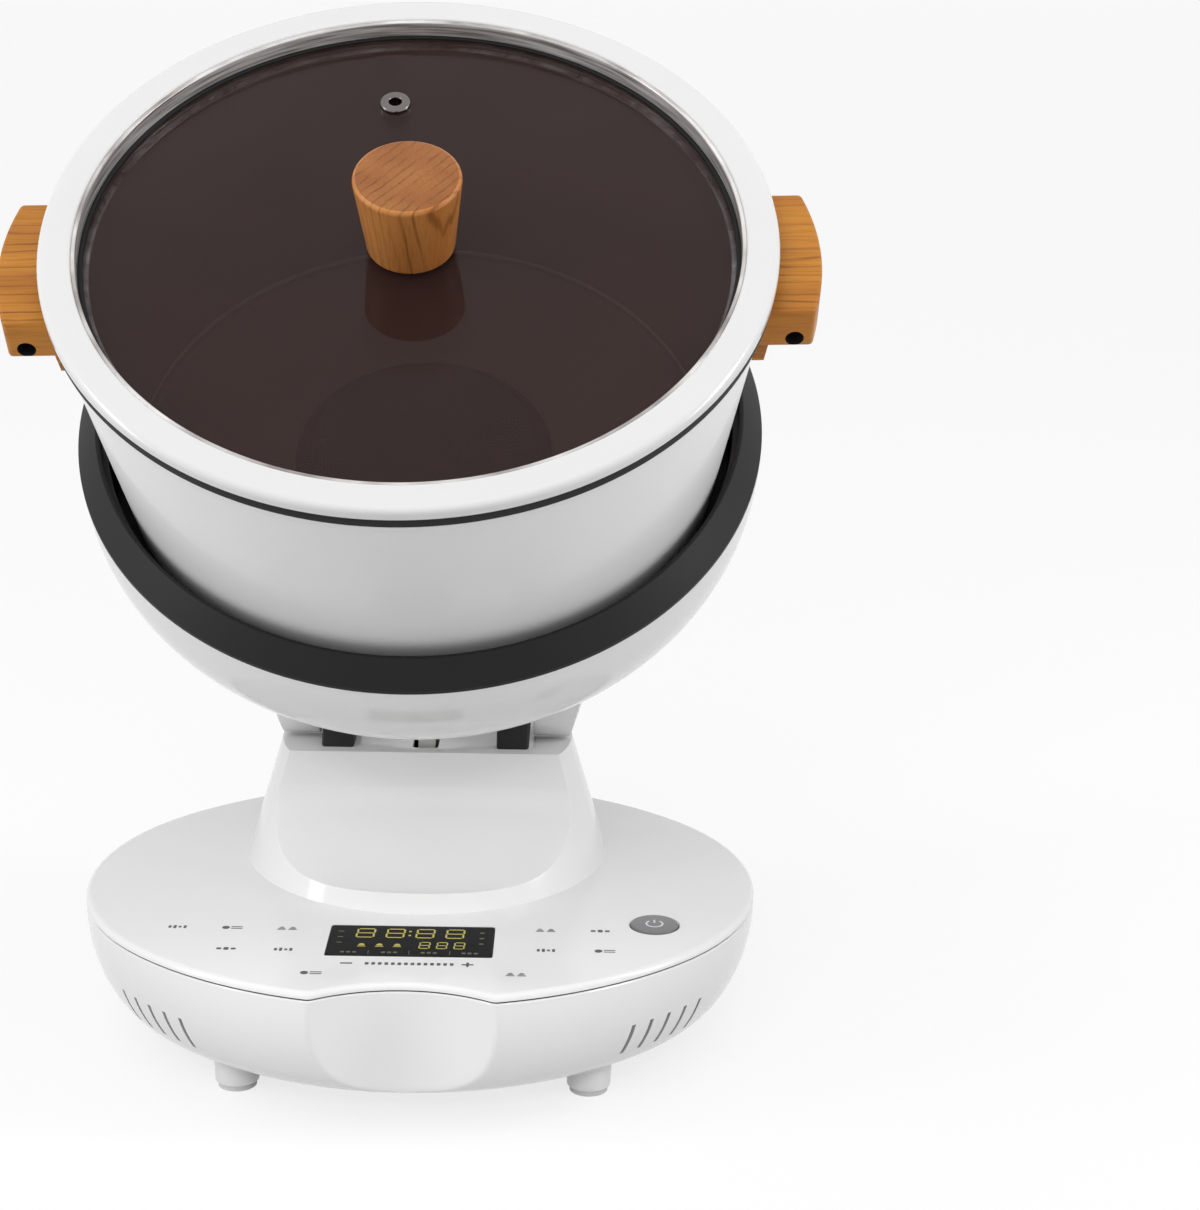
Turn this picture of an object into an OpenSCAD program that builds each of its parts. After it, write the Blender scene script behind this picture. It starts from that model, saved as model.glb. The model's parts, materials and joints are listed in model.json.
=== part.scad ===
// Automatic cooking machine: a lidded pot turns in a leaning heating bowl, on a pedestal and an oval base.
// Millimetres, +Z up, front towards -Y. The origin is on the counter, under the middle of the outline.

/* [Stance] */
// Lean of the pot's axis towards the front at rest, in degrees
rest_tilt = 36; // [30:1:40]

/* [Base shell] */
// Half the width of the oval base
base_half_w = 153; // [146:1:165]
// Half the depth of the oval base
base_half_d = 134; // [130:1:142]
// Radius of the base's left and right ends
base_end_r = 120; // [112:1:126]
// Height of the seam between the lower shell and the deck
seam_z = 69.5; // [66:0.5:76]
// How far the lower shell draws in between the seam and its floor
hull_inset = 34; // [28:1:36]
// Wall of the lower shell
hull_wall = 2.5; // [2:0.1:3.2]
// Radius of the hollow in the middle of the base's front
scoop_r = 71; // [60:1:85]
// Depth of that hollow at the seam
scoop_depth = 15; // [10:1:18]
// Lean of that hollow, in degrees
scoop_lean = 8; // [4:1:12]
// Number of air slots on each side
slot_count = 5; // [3:1:6]
// Width of an air slot
slot_w = 2; // [1.5:0.1:3]
// Height of the air slots' lower ends
slot_z = 31; // [29:1:35]
// Height of an air slot
slot_h = 16; // [10:1:20]
// Angle from the front to the first air slot, in degrees
slot_start = 44.5; // [40:0.5:50]
// Angle between air slots, in degrees
slot_step = 4.1; // [3:0.1:5]

/* [Deck] */
// Thickness of the deck plate
deck_t = 4; // [3.5:0.1:5]
// Rounding of the deck's upper edge
deck_edge_r = 2.5; // [1:0.1:3]
// Depth of the dark joint line under the deck's edge
joint_line = 0.8; // [0.4:0.1:1.2]
// Radius of the opening from the base into the pedestal
deck_hole_r = 66; // [55:1:68]

/* [Feet] */
// Height of the shell's floor above the counter
foot_h = 17; // [13:0.5:20]
// Radius of a foot
foot_r = 10.5; // [9:0.1:12]
// Distance of the feet from the middle, sideways
foot_x = 78; // [70:1:80]
// Distance of the feet from the middle, front and back
foot_y = 64; // [56:1:66]
// Thickness of a foot pad
pad_t = 2.5; // [1.5:0.1:4]
// Radius of a foot pad
pad_r = 8.5; // [7:0.1:9]
// Radius of a deck post over a foot
post_r = 5; // [4:0.1:6]
// Radius of a base screw
base_screw_r = 1.8; // [1.5:0.1:2.2]
// Radius of a base screw's head
base_head_r = 3.6; // [3.2:0.1:4]
// How far a base screw goes into its post
base_screw_len = 28; // [20:1:36]

/* [Controls] */
// Width of the display window
window_w = 72; // [66:1:76]
// Depth of the display window, front to back
window_d = 34; // [30:1:38]
// Thickness of the display window
window_t = 2; // [1.5:0.1:2.5]
// Width of the ledge that the window rests on
window_ledge = 3; // [2:0.1:4]
// Distance of the window's middle behind the base's front
window_setback = 60; // [56:1:62]
// Width of the touch board
touch_w = 136; // [120:1:140]
// Depth of the touch board, front to back
touch_d = 50; // [46:1:52]
// Thickness of the circuit boards
board_t = 1.6; // [1.2:0.1:2]
// Height of the posts that carry the touch board
touch_post_h = 6; // [5:0.1:8]
// Radius of the power button
button_r = 10.6; // [9:0.1:12]
// Place of the power button, sideways
button_x = 106; // [102:1:108]
// Distance of the power button in front of the base's middle
button_y = 52; // [48:1:56]
// How far the power button stands above the deck
button_rise = 0.6; // [0.3:0.1:1]
// Travel of the power button
button_travel = 1.2; // [0.8:0.1:1.6]
// Gap around the power button
button_gap = 0.3; // [0.2:0.05:0.5]
// Width of the rim that keeps the power button in
button_rim = 2; // [1.5:0.1:2.5]
// Thickness of that rim
button_rim_t = 1.4; // [1:0.1:1.8]
// Length of the power button's stem
button_stem = 2.6; // [2:0.1:3.5]
// Distance between the switch board's posts, from the button's middle
switch_post_x = 16; // [15.5:0.1:17]

/* [Pedestal] */
// Radius of the pedestal at the deck
ped_r = 85; // [80:1:88]
// Radius of the pedestal at its top
ped_top_r = 68; // [66:1:76]
// Height of the pedestal
ped_h = 56.5; // [52:0.5:62]
// Distance of the pedestal's axis behind the base's middle
ped_y = 41; // [36:1:44]
// Wall of the pedestal
ped_wall = 3; // [2.5:0.1:3.5]
// Radius of the hollow in the pedestal's front
ped_scoop_r = 46; // [42:1:48]
// Height of that hollow's axis above the deck
ped_scoop_h = 54; // [52:1:58]
// Distance of the hollow's deepest line behind the base's middle
ped_scoop_y = 13; // [8:1:14]
// Width of the flange inside the pedestal's foot
ped_flange_w = 13; // [12:0.5:15]
// Thickness of that flange
ped_flange_t = 4; // [3:0.1:4.5]
// Radius of a pedestal screw
ped_screw_r = 1.8; // [1.5:0.1:2]

/* [Tilt hinge] */
// Distance of the tilt axis behind the base's middle
pivot_y = 40; // [36:1:44]
// Height of the tilt axis above the pedestal
pivot_h = 14; // [14:0.5:18]
// Distance of the tilt axis in front of the pot's axis
pivot_fwd = 55; // [50:1:60]
// Distance of the tilt axis below the bowl's mouth
pivot_drop = 136.4; // [132:0.2:145]
// Radius of the tilt shaft
shaft_r = 5; // [4:0.1:6]
// Running clearance of shafts in their bushes
run_gap = 0.05; // [0.02:0.01:0.08]
// Wall of the hinge bushes
bush_wall = 2; // [1.5:0.1:2.5]
// Radius of the neck's barrel round the tilt axis
barrel_r = 13; // [11.5:0.1:13.4]
// Radius of the black bracket's head
bracket_head_r = 12.5; // [11:0.1:14]
// Distance of the black brackets from the middle
bracket_x = 33; // [31:0.5:34]
// Width of a black bracket
bracket_w = 15; // [12:0.5:15.5]
// Depth of a black bracket's foot
bracket_foot = 42; // [38:1:44]
// Gap between a black bracket and the neck's cheek
cheek_gap = 2; // [1:0.1:3]
// Width of the neck's cheek at the tilt axis
cheek_w = 17; // [14:0.5:18]
// How far a cheek leans out for each millimetre of height
cheek_flare = 0.32; // [0.2:0.01:0.36]
// Thickness of the neck's web under the bowl
web_t = 8; // [6:0.5:10]
// Height of the neck's block above the tilt axis, before the bowl is cut out of it
neck_h = 108; // [100:1:116]
// Distance of that block's back behind the tilt axis
neck_back = 56; // [52:1:60]
// Distance of that block's front before the tilt axis
neck_front = 34; // [33:1:38]
// Distance of the neck's chin before the tilt axis
neck_chin = 32; // [28:1:32]
// Height of the neck's chin above the tilt axis
neck_chin_h = 42; // [38:1:46]
// Distance of the neck screws from the pot's axis, sideways
neck_screw_x = 36; // [32:1:40]
// Distance of the neck screws from the pot's axis, front and back
neck_screw_y = 24; // [20:1:28]

/* [Tilt drive] */
// Gear module
gear_module = 1; // [0.8:0.1:1.1]
// Teeth on the full circle of the sector
sector_teeth = 42; // [40:1:44]
// Teeth on the pinion
pinion_teeth = 12; // [11:1:14]
// Width of the gears
gear_w = 8; // [6:0.5:9]
// Added centre distance for backlash
gear_slack = 0.3; // [0.2:0.05:0.4]
// Direction from the tilt axis to the pinion, in degrees below straight back
mesh_angle = 70; // [66:1:80]
// Radius of the pinion's shaft
pinion_shaft_r = 3; // [2.5:0.1:3.3]
// Radius of the gearbox
gearbox_r = 17; // [15:0.5:18]
// Length of the gearbox
gearbox_l = 18; // [14:1:20]
// Radius of the tilt motor
motor_r = 15; // [12:0.5:16]
// Length of the tilt motor
motor_l = 28; // [22:1:30]
// Thickness of the motor plate
mount_t = 2.5; // [2:0.1:3]

/* [Bowl] */
// Outer radius of the bowl
bowl_r = 149.6; // [149:0.1:151]
// Radius of the bowl's round side
bowl_arc_r = 80; // [76:1:80]
// Straight rim of the bowl above the round side
bowl_lip = 5.6; // [5.5:0.1:9]
// Wall of the bowl
bowl_wall = 2.5; // [2:0.1:2.8]
// Radius of the wiring hole in the bowl's floor
wire_hole_r = 8; // [5:0.5:12]
// Width of the black collar inside the bowl's outer radius
collar_w = 10.4; // [9.6:0.1:10.6]
// Height of the black collar
collar_h = 12.5; // [11:0.1:14]
// How far the collar stands out past the bowl
collar_over = 0.2; // [0:0.1:0.6]
// Wall of the collar's spigot inside the bowl
spigot_w = 2.3; // [1.8:0.1:2.6]
// Wall of the steel liner
liner_t = 1.5; // [1:0.1:1.6]
// Gap between the liner and the collar
liner_gap = 0.8; // [0.3:0.1:1]
// Space between the pot's floor and the liner's floor
liner_space = 4; // [3.5:0.1:4.5]
// Number of collar screws
collar_screw_count = 6; // [4:1:8]

/* [Heating and drive] */
// Outer radius of the coil
coil_r = 108; // [95:1:109]
// Inner radius of the coil
coil_in_r = 40; // [36:1:46]
// Thickness of the coil
coil_t = 7; // [5:0.5:8]
// Thickness of the insulating sheet
sheet_t = 1; // [0.5:0.1:1.5]
// Thickness of the coil tray
tray_t = 3; // [2.5:0.1:4]
// Outer radius of the coil tray
tray_r = 114; // [113:0.5:118]
// Radius of the spin motor
spin_motor_r = 27; // [24:1:34]
// Space between the spin motor and the bowl's floor
spin_motor_gap = 5.6; // [4:0.1:12]
// Thickness of the spin motor's flange
spin_flange_t = 3; // [2:0.1:4]
// Depth of the bore in the spin motor that takes the hub shaft
spin_bore_l = 13.5; // [10:0.5:16]
// Radius of the hub shaft
hub_shaft_r = 4; // [3:0.1:5]
// Wall of the hub bush
hub_bush_w = 5; // [3:0.1:5]
// Radius of the drive hub
hub_r = 34; // [28:1:40]
// Radius of a drive pin
drive_pin_r = 3; // [2.5:0.1:4]
// Distance of the drive pins from the axis
drive_pin_at = 22; // [16:1:24]
// Gap around a drive pin
drive_pin_gap = 0.4; // [0.3:0.05:0.6]

/* [Pot] */
// Height of the pot's rim above the bowl's mouth
pot_rise = 102.4; // [96:0.2:108]
// How much smaller than the bowl's radius the pot's is under its rim
pot_inset = 2.6; // [2.1:0.1:3.1]
// Taper of the pot's wall, in degrees
pot_taper = 8; // [7.5:0.1:9]
// Depth of the pot from its rim to the underside of its floor
pot_depth = 128.4; // [124:0.2:134]
// Wall of the pot
pot_wall = 3; // [2:0.1:4]
// Thickness of the pot's floor
pot_floor_t = 4; // [3:0.1:4.5]
// Rounding between the pot's wall and floor
pot_corner_r = 16; // [12:1:20]
// How far the rim stands out from the wall
pot_lip_w = 1.2; // [0.6:0.1:1.6]
// Thickness of the rim
pot_lip_t = 2.5; // [2:0.1:4]
// Radius of the raised middle of the floor
boss_r = 50; // [44:1:54]
// Height of the raised middle of the floor
boss_h = 8; // [7.5:0.1:9]
// Turn of the pot about its axis at rest, in degrees
pot_turn = 2.5; // [-10:0.5:10]
// Thickness of the coupling under the pot
coupling_t = 4.5; // [3.8:0.1:5]

/* [Handles] */
// Length of a handle
handle_l = 70; // [60:1:80]
// Thickness of a handle
handle_t = 19.5; // [16:0.5:22]
// Reach of a handle past the pot's radius
handle_out = 21.3; // [19:0.1:26]
// Radius of a handle's outer face
handle_face_r = 115; // [90:1:140]
// Distance of a handle's top below the pot's rim
handle_drop = 0.9; // [0.5:0.1:3]
// Gap between a handle and the pot's wall
handle_gap = 0.2; // [0.1:0.05:0.3]
// Radius of the hole in a handle's front end
handle_bore_r = 3.8; // [3:0.1:4.2]
// Height of that hole's middle above the handle's underside
handle_bore_z = 4.4; // [4.3:0.1:6]
// Depth of that hole
handle_bore_l = 14; // [10:1:18]
// Distance of that hole inside the handle's reach
handle_bore_in = 12.9; // [11:0.1:14]
// Thickness of the leg along the pot's wall
leg_t = 5; // [3:0.1:6]
// Length of that leg below the handle
leg_h = 10; // [6:0.5:14]
// Thickness of the steel bracket in a handle
tab_t = 5; // [4:0.1:6]
// Width of the steel bracket in a handle
tab_w = 30; // [24:1:34]
// Distance of the steel bracket's end inside the handle's reach
tab_cover = 15.3; // [15:0.1:16.3]
// Radius of a handle screw
handle_screw_r = 1.6; // [1.3:0.1:2]

/* [Lid] */
// How far the lid's white rim stands out past the pot's radius
lid_over = 3; // [2:0.1:4]
// Width of the white rim
rim_w = 13.5; // [12:0.1:14.5]
// Thickness of the white rim
rim_t = 5.3; // [4.5:0.1:6]
// Rounding of the white rim's outer edge
rim_edge_r = 2.5; // [1.5:0.1:3]
// Thickness of the black gasket
gasket_t = 5; // [4:0.1:6]
// Width of the black gasket
gasket_w = 12; // [10:0.1:12.5]
// Gap between resting bodies
seat_gap = 0.3; // [0.2:0.05:0.4]
// Thickness of the steel band
band_t = 1.75; // [1.2:0.05:2]
// Width of the band's ledge under the glass
ledge_w = 4; // [3:0.1:5]
// Thickness of the band's ledge
ledge_t = 1.5; // [1:0.1:2]
// Depth of the glass below the white rim's top
glass_drop = 8.5; // [7:0.1:10]
// Thickness of the glass
glass_t = 4; // [3:0.1:5]
// Gap round the glass
glass_gap = 0.3; // [0.2:0.05:0.5]
// Width of the black seal on the glass
seal_w = 1.9; // [1.4:0.1:2.4]
// Thickness of the black seal on the glass
seal_t = 1.1; // [0.8:0.1:1.6]
// Distance of the steam vent inside the glass's edge
vent_in = 44.43; // [36:0.01:54]
// Angle from the lid's rear to the steam vent, in degrees
vent_turn = 7.6; // [-20:0.1:20]
// Radius of the steam vent's hole
vent_r = 2.75; // [2:0.05:3.5]
// Wall of the vent's tube
vent_wall = 2.1; // [1.5:0.1:2.5]
// Width of the vent's flanges
vent_flange = 1.8; // [1.2:0.1:2.4]
// Thickness of the vent's flanges
vent_flange_t = 1.5; // [1:0.1:2]

/* [Knob] */
// Radius of the knob at its top
knob_top_r = 22.2; // [19:0.1:25]
// Radius of the knob at its foot
knob_low_r = 18; // [15.5:0.1:20]
// Height of the knob
knob_h = 36.8; // [30:0.1:42]
// Rounding of the knob's edges
knob_edge_r = 2; // [1:0.1:3]
// Radius of the washer under the knob
washer_r = 14; // [12:0.1:15]
// Thickness of the washer under the knob
washer_t = 1.5; // [1:0.1:2]
// Radius of the knob's screw
knob_screw_r = 2.4; // [2:0.1:3]
// How far the screw goes into the knob
knob_screw_len = 18; // [12:1:24]

/* [Inside the base] */
// Side of the square fan
fan_side = 50; // [46:1:52]
// Thickness of the fan
fan_t = 15; // [13:0.5:18]
// Wall of the fan's frame at its narrowest
fan_wall = 1.5; // [1:0.1:2]
// Place of the fan, sideways
fan_x = -45; // [-48:1:-42]
// Distance of the fan behind the base's middle
fan_y = 36; // [32:1:40]
// Radius of the fan's hub
fan_hub_r = 9; // [7:0.1:11]
// Number of fan blades
fan_blades = 7; // [5:1:9]
// Radius of the fan's spindle
spindle_r = 1.5; // [1.2:0.1:2]
// Width of the power board
power_w = 62; // [58:1:64]
// Depth of the power board
power_d = 62; // [56:1:66]
// Place of the power board's middle, sideways
power_x = 38; // [36:1:40]
// Distance of the power board's middle behind the base's middle
power_y = 40; // [36:1:44]
// Height of the posts under the power board
power_post_h = 8; // [6:0.5:10]
// Radius of the board's capacitor
capacitor_r = 9; // [7:0.5:9]
// Height of the board's capacitor
capacitor_h = 24; // [20:1:26]
// Width of the mains inlet
inlet_w = 29.6; // [27:0.1:32]
// Height of the mains inlet
inlet_h = 22; // [21.5:0.1:23]
// Depth of the mains inlet
inlet_d = 20; // [18:0.5:22]
// Height of the mains inlet's middle above the counter
inlet_z = 44; // [42:0.5:46]
// Distance of the inlet's inner end from the base's back
inlet_setback = 30; // [28:0.5:34]
// Wall of the inlet and of its sleeve
inlet_wall = 2; // [1.6:0.1:2.4]
// Gap round the inlet
inlet_gap = 0.2; // [0.1:0.05:0.3]

/* [Hidden] */
$fn = 96;

// Longer than any cut needs to be
far = 400;
// Steps in a quarter of a computed curve
curve_steps = 10;
// Width, depth and height of the blocks on the power board
transformer_size = [28, 24, 20];
relay_size = [20, 16, 15];
heat_sink_size = [32, 12, 22];
// Clearance of a screw in its hole, and of a fixed round piece in its seat
hole_gap = 0.1;
seat_fit = 0.02;

// Oval base: two end arcs and two side arcs that meet smoothly
end_x = base_half_w - base_end_r;
side_y = (end_x * end_x - pow(base_half_d - base_end_r, 2)) / (2 * (base_half_d - base_end_r));
base_side_r = base_half_d + side_y;
side_angle = atan(end_x / side_y);
hull_depth = seam_z - foot_h;
floor_z = foot_h + hull_wall;
deck_top = seam_z + deck_t;
scoop_y = base_half_d - scoop_depth + scoop_r;
window_y = base_half_d - window_setback;
inlet_y = base_half_d - inlet_setback;

// Pedestal and tilt hinge, from the base's middle
ped_top = deck_top + ped_h;
pivot_z = ped_top + pivot_h;
ped_screw_at = ped_r - ped_wall - ped_flange_w / 2;
bush_r = shaft_r + run_gap + bush_wall;
bracket_mid = bracket_x + bracket_w / 2;
cheek_x = bracket_x + bracket_w + cheek_gap;
cheek_out = cheek_x + cheek_w;
cos_tilt = cos(rest_tilt);
sin_tilt = sin(rest_tilt);

// Tilt gears
sector_r = gear_module * sector_teeth / 2;
pinion_r = gear_module * pinion_teeth / 2;
gear_apart = sector_r + pinion_r + gear_slack;
pinion_y = pivot_y + gear_apart * cos(mesh_angle);
pinion_z = pivot_z - gear_apart * sin(mesh_angle);
gearbox_y = pinion_y + 4;
gearbox_z = pinion_z - gearbox_r + pinion_shaft_r + 2;
mount_x = gear_w / 2 + 3;
// Arc of teeth that the tilt needs on each side of the mesh, in degrees
sector_fore = 34;
sector_back = 48;

// Heights along the pot's axis, from the bowl's mouth
bowl_floor = -(bowl_lip + bowl_arc_r);
pot_floor = pot_rise - pot_depth;
boss_under = pot_floor + boss_h;
coupling_z = boss_under - coupling_t;
liner_floor = pot_floor - liner_space;
liner_under = liner_floor - liner_t;
coil_top = liner_under - sheet_t;
tray_top = coil_top - coil_t;
tray_under = tray_top - tray_t;
spin_motor_top = tray_under - spin_flange_t;
spin_motor_l = spin_motor_top - bowl_floor - bowl_wall - spin_motor_gap;
hub_top = coupling_z - seat_gap;
hub_bottom = liner_floor + 0.6;
gasket_z = pot_rise + seat_gap;
rim_z = gasket_z + gasket_t;
lid_top = rim_z + rim_t;
glass_top = lid_top - glass_drop;
glass_z = glass_top - glass_t;
knob_z = glass_top + washer_t;

// Radii across the pot's axis
pot_r = bowl_r - pot_inset;
collar_in_r = bowl_r - collar_w;
lid_r = pot_r + lid_over;
rim_in_r = lid_r - rim_w;
band_out_r = rim_in_r - seat_fit;
band_in_r = band_out_r - band_t;
glass_r = band_in_r - glass_gap;
vent_at = glass_r - vent_in;
collar_out_r = bowl_r + collar_over;
spigot_r = bowl_r - bowl_wall - 0.2;
liner_out_r = collar_in_r - liner_gap;
liner_in_r = liner_out_r - liner_t;
ledge_z = 4;
collar_screw_at = (liner_out_r + spigot_r - spigot_w) / 2;
hub_bush_r = hub_shaft_r + run_gap + hub_bush_w;

// Handles
handle_reach = pot_r + handle_out;
handle_bore_x = handle_reach - handle_bore_in;
tab_reach = handle_reach - tab_cover;
handle_top = pot_rise - pot_lip_t - handle_drop;
handle_z = handle_top - handle_t;
tab_z = handle_z + (handle_t - tab_t) / 2;
handle_head_r = 1.7 * handle_screw_r;

// Reach of the leaning bowl and lid in front of and behind the base's middle, and the base's place
mouth_y = pivot_y + pivot_fwd * cos_tilt - pivot_drop * sin_tilt;
lid_front = (lid_r - rim_edge_r) * cos_tilt + (lid_top - rim_edge_r) * sin_tilt + rim_edge_r - mouth_y;
bowl_back = mouth_y + (bowl_r - bowl_arc_r) * cos_tilt + bowl_lip * sin_tilt + bowl_arc_r;
base_y = (max(lid_front, base_half_d) - max(bowl_back, base_half_d)) / 2;

// Power button and its switch
button_under = seam_z - seat_gap;
stem_end = button_under - button_rim_t - button_stem;
switch_top = stem_end - button_travel - 0.1;
switch_h = 3.5;

// Radius of the pot's wall at a height along its axis
function pot_wall_r(z) = pot_r - (pot_rise - z) * tan(pot_taper);
// Points on an arc, from one angle to another
function arc(x, y, r, from, to, n = curve_steps) =
    [for (k = [0:n]) let (a = from + (to - from) * k / n) [x + r * cos(a), y + r * sin(a)]];

// The frame that the base's pieces are drawn in
module on_base() { translate([0, base_y, 0]) children(); }

// The frame of the leaning pot: origin in the bowl's mouth, +Z up the pot's axis
module on_axis() {
    translate([0, base_y + pivot_y, pivot_z])
        rotate([rest_tilt, 0, 0])
            translate([0, pivot_fwd, pivot_drop])
                children();
}

// The frame of the pot, turned about its axis as it stands at rest
module on_pot() { on_axis() rotate([0, 0, pot_turn]) children(); }

// A side profile in Y and Z, drawn out along X from one place to another
module along_x(from, to) { translate([from, 0, 0]) rotate([90, 0, 90]) linear_extrude(to - from) children(); }

// A round bar along X
module bar_x(from, to, r) { translate([from, 0, 0]) rotate([0, 90, 0]) cylinder(h = to - from, r = r); }

// A ring, or a disc where the inner radius is zero
module ring(z, h, outer, inner) {
    difference() {
        translate([0, 0, z]) cylinder(h = h, r = outer);
        translate([0, 0, z - 1]) cylinder(h = h + 2, r = inner);
    }
}

// Places on the four corners of a rectangle
module corners(x, y) {
    for (sx = [-1, 1])
        for (sy = [-1, 1])
            translate([sx * x, sy * y, 0]) children();
}

// Part of the oval between its two ends, as seen from above
module between_ends() {
    out = far * tan(side_angle);
    linear_extrude(far)
        polygon([[end_x, 0], [end_x + out, far], [-end_x - out, far], [-end_x, 0], [-end_x - out, -far],
            [end_x + out, -far]]);
}

// Lower shell's outline, drawn in by a wall
function hull_profile(r, wall, rise) = concat(
    [[0, seam_z + rise], [r - wall, seam_z + rise]],
    [for (k = [0:curve_steps]) let (a = 90 * k / curve_steps)
        [r - wall - hull_inset * (1 - cos(a)), seam_z - (hull_depth - wall) * sin(a)]],
    [[0, seam_z - hull_depth + wall]]);

module hull_disc(x, y, r, wall, rise) {
    translate([x, y, 0]) rotate_extrude() polygon(hull_profile(r, wall, rise));
}

// Lower shell's block: the overlap of two large discs between the ends, and a smaller disc at each end
module hull_solid(wall, rise) {
    intersection() {
        hull_disc(0, -side_y, base_side_r, wall, rise);
        hull_disc(0, side_y, base_side_r, wall, rise);
        between_ends();
    }
    for (side = [-1, 1])
        hull_disc(side * end_x, 0, base_end_r, wall, rise);
}

// Deck's profile, with a set-back joint line below and a rounded edge above
function deck_profile(r) = concat(
    [[0, seam_z], [r - joint_line, seam_z], [r - joint_line, seam_z + joint_line], [r, seam_z + joint_line]],
    arc(r - deck_edge_r, deck_top - deck_edge_r, deck_edge_r, 0, 90, 5),
    [[0, deck_top]]);

module deck_disc(x, y, r) { translate([x, y, 0]) rotate_extrude() polygon(deck_profile(r)); }

// Deck plate: the overlap of two large discs, with a smaller disc at each end
module deck_solid() {
    half_x = end_x + base_end_r * cos(side_angle);
    intersection() {
        deck_disc(0, -side_y, base_side_r);
        deck_disc(0, side_y, base_side_r);
        translate([-half_x, -far / 2, 0]) cube([2 * half_x, far, far]);
    }
    for (side = [-1, 1])
        deck_disc(side * end_x, 0, base_end_r);
}

// Hollow in the middle of the base's front
module front_scoop(r) {
    translate([0, -scoop_y, seam_z])
        rotate([scoop_lean, 0, 0])
            cylinder(h = far, r = r, center = true);
}

// Slots that let air through the shell's front quarters
module air_slots() {
    for (side = [-1, 1])
        for (k = [0:slot_count - 1])
            rotate([0, 0, side * (slot_start + k * slot_step)])
                translate([-slot_w / 2, -far / 2, slot_z])
                    cube([slot_w, far / 2 - base_half_d / 2, slot_h]);
}

// Slots under the fan
module fan_intake() {
    translate([fan_x, fan_y, foot_h - 1])
        for (k = [-2:2])
            translate([-fan_side * 0.34, k * fan_side * 0.16 - slot_w, 0])
                cube([fan_side * 0.68, 2 * slot_w, hull_wall + 2]);
}

module inlet_block(grow) {
    translate([-inlet_w / 2 - grow, inlet_y, inlet_z - inlet_h / 2 - grow])
        cube([inlet_w + 2 * grow, base_half_d, inlet_h + 2 * grow]);
}

module base_shell() {
    color("whitesmoke") on_base() difference() {
        union() {
            difference() {
                hull_solid(0, 0);
                front_scoop(scoop_r);
                difference() {
                    hull_solid(hull_wall, 1);
                    front_scoop(scoop_r + hull_wall);
                }
            }
            intersection() {
                hull_solid(0, 0);
                inlet_block(inlet_gap + inlet_wall);
            }
            translate([power_x, power_y, floor_z - 1])
                corners(power_w / 2 - 5, power_d / 2 - 5)
                    cylinder(h = power_post_h + 1, r = 3);
        }
        inlet_block(inlet_gap);
        air_slots();
        fan_intake();
        corners(foot_x, foot_y) translate([0, 0, foot_h - 1]) cylinder(h = far, r = base_screw_r + hole_gap);
    }
}

module deck() {
    touch_z = seam_z - touch_post_h;
    switch_z = switch_top - switch_h;
    color("white") on_base() difference() {
        union() {
            difference() {
                deck_solid();
                translate([0, -scoop_y, seam_z - 1]) cylinder(h = deck_t + 2, r = scoop_r);
            }
            corners(foot_x, foot_y) translate([0, 0, floor_z]) cylinder(h = seam_z + 1 - floor_z, r = post_r);
            translate([0, -window_y, touch_z])
                corners(touch_w / 2 - 4, touch_d / 2 - 4)
                    cylinder(h = touch_post_h + 1, r = 3);
            translate([button_x, -button_y, switch_z])
                for (side = [-1, 1])
                    translate([side * switch_post_x, 0, 0]) cylinder(h = seam_z + 1 - switch_z, r = 2);
        }
        translate([0, ped_y, 0]) cylinder(h = far, r = deck_hole_r);
        translate([-window_w / 2, -window_y - window_d / 2, deck_top - window_t])
            cube([window_w, window_d, window_t + 1]);
        translate([-window_w / 2 + window_ledge, -window_y - window_d / 2 + window_ledge, seam_z - 1])
            cube([window_w - 2 * window_ledge, window_d - 2 * window_ledge, deck_t + 2]);
        translate([button_x, -button_y, seam_z - 1]) cylinder(h = deck_t + 2, r = button_r + button_gap);
        corners(foot_x, foot_y)
            translate([0, 0, floor_z - 1]) cylinder(h = base_screw_len + 2, r = base_screw_r + hole_gap);
        translate([0, ped_y, 0])
            for (a = [45:90:315])
                rotate([0, 0, a]) translate([ped_screw_at, 0, seam_z - 1])
                    cylinder(h = deck_t + 2, r = ped_screw_r + hole_gap);
    }
}

module feet() {
    color("gainsboro") on_base() corners(foot_x, foot_y) difference() {
        translate([0, 0, pad_t]) cylinder(h = foot_h - pad_t, r1 = foot_r - 0.8, r2 = foot_r);
        translate([0, 0, pad_t - 1]) cylinder(h = foot_h, r = base_head_r + hole_gap);
    }
}

module foot_pads() {
    color("lightgray") on_base() corners(foot_x, foot_y) cylinder(h = pad_t, r = pad_r);
}

module base_screws() {
    head_h = 3;
    color("silver") on_base() corners(foot_x, foot_y) {
        translate([0, 0, foot_h - head_h]) cylinder(h = head_h, r = base_head_r);
        translate([0, 0, foot_h - 1]) cylinder(h = hull_wall + base_screw_len, r = base_screw_r);
    }
}

module display_window() {
    gap = 0.2;
    color("black") on_base()
        translate([-window_w / 2 + gap, -window_y - window_d / 2 + gap, deck_top - window_t])
            cube([window_w - 2 * gap, window_d - 2 * gap, window_t]);
}

module touch_board() {
    color("darkgreen") on_base()
        translate([-touch_w / 2, -window_y - touch_d / 2, seam_z - touch_post_h - board_t])
            cube([touch_w, touch_d, board_t]);
}

module display_module() {
    gap = 0.3;
    w = window_w - 2 * window_ledge - 2;
    d = window_d - 2 * window_ledge - 2;
    color("dimgray") on_base()
        translate([-w / 2, -window_y - d / 2, seam_z - touch_post_h])
            cube([w, d, touch_post_h + deck_t - window_t - gap]);
}

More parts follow.
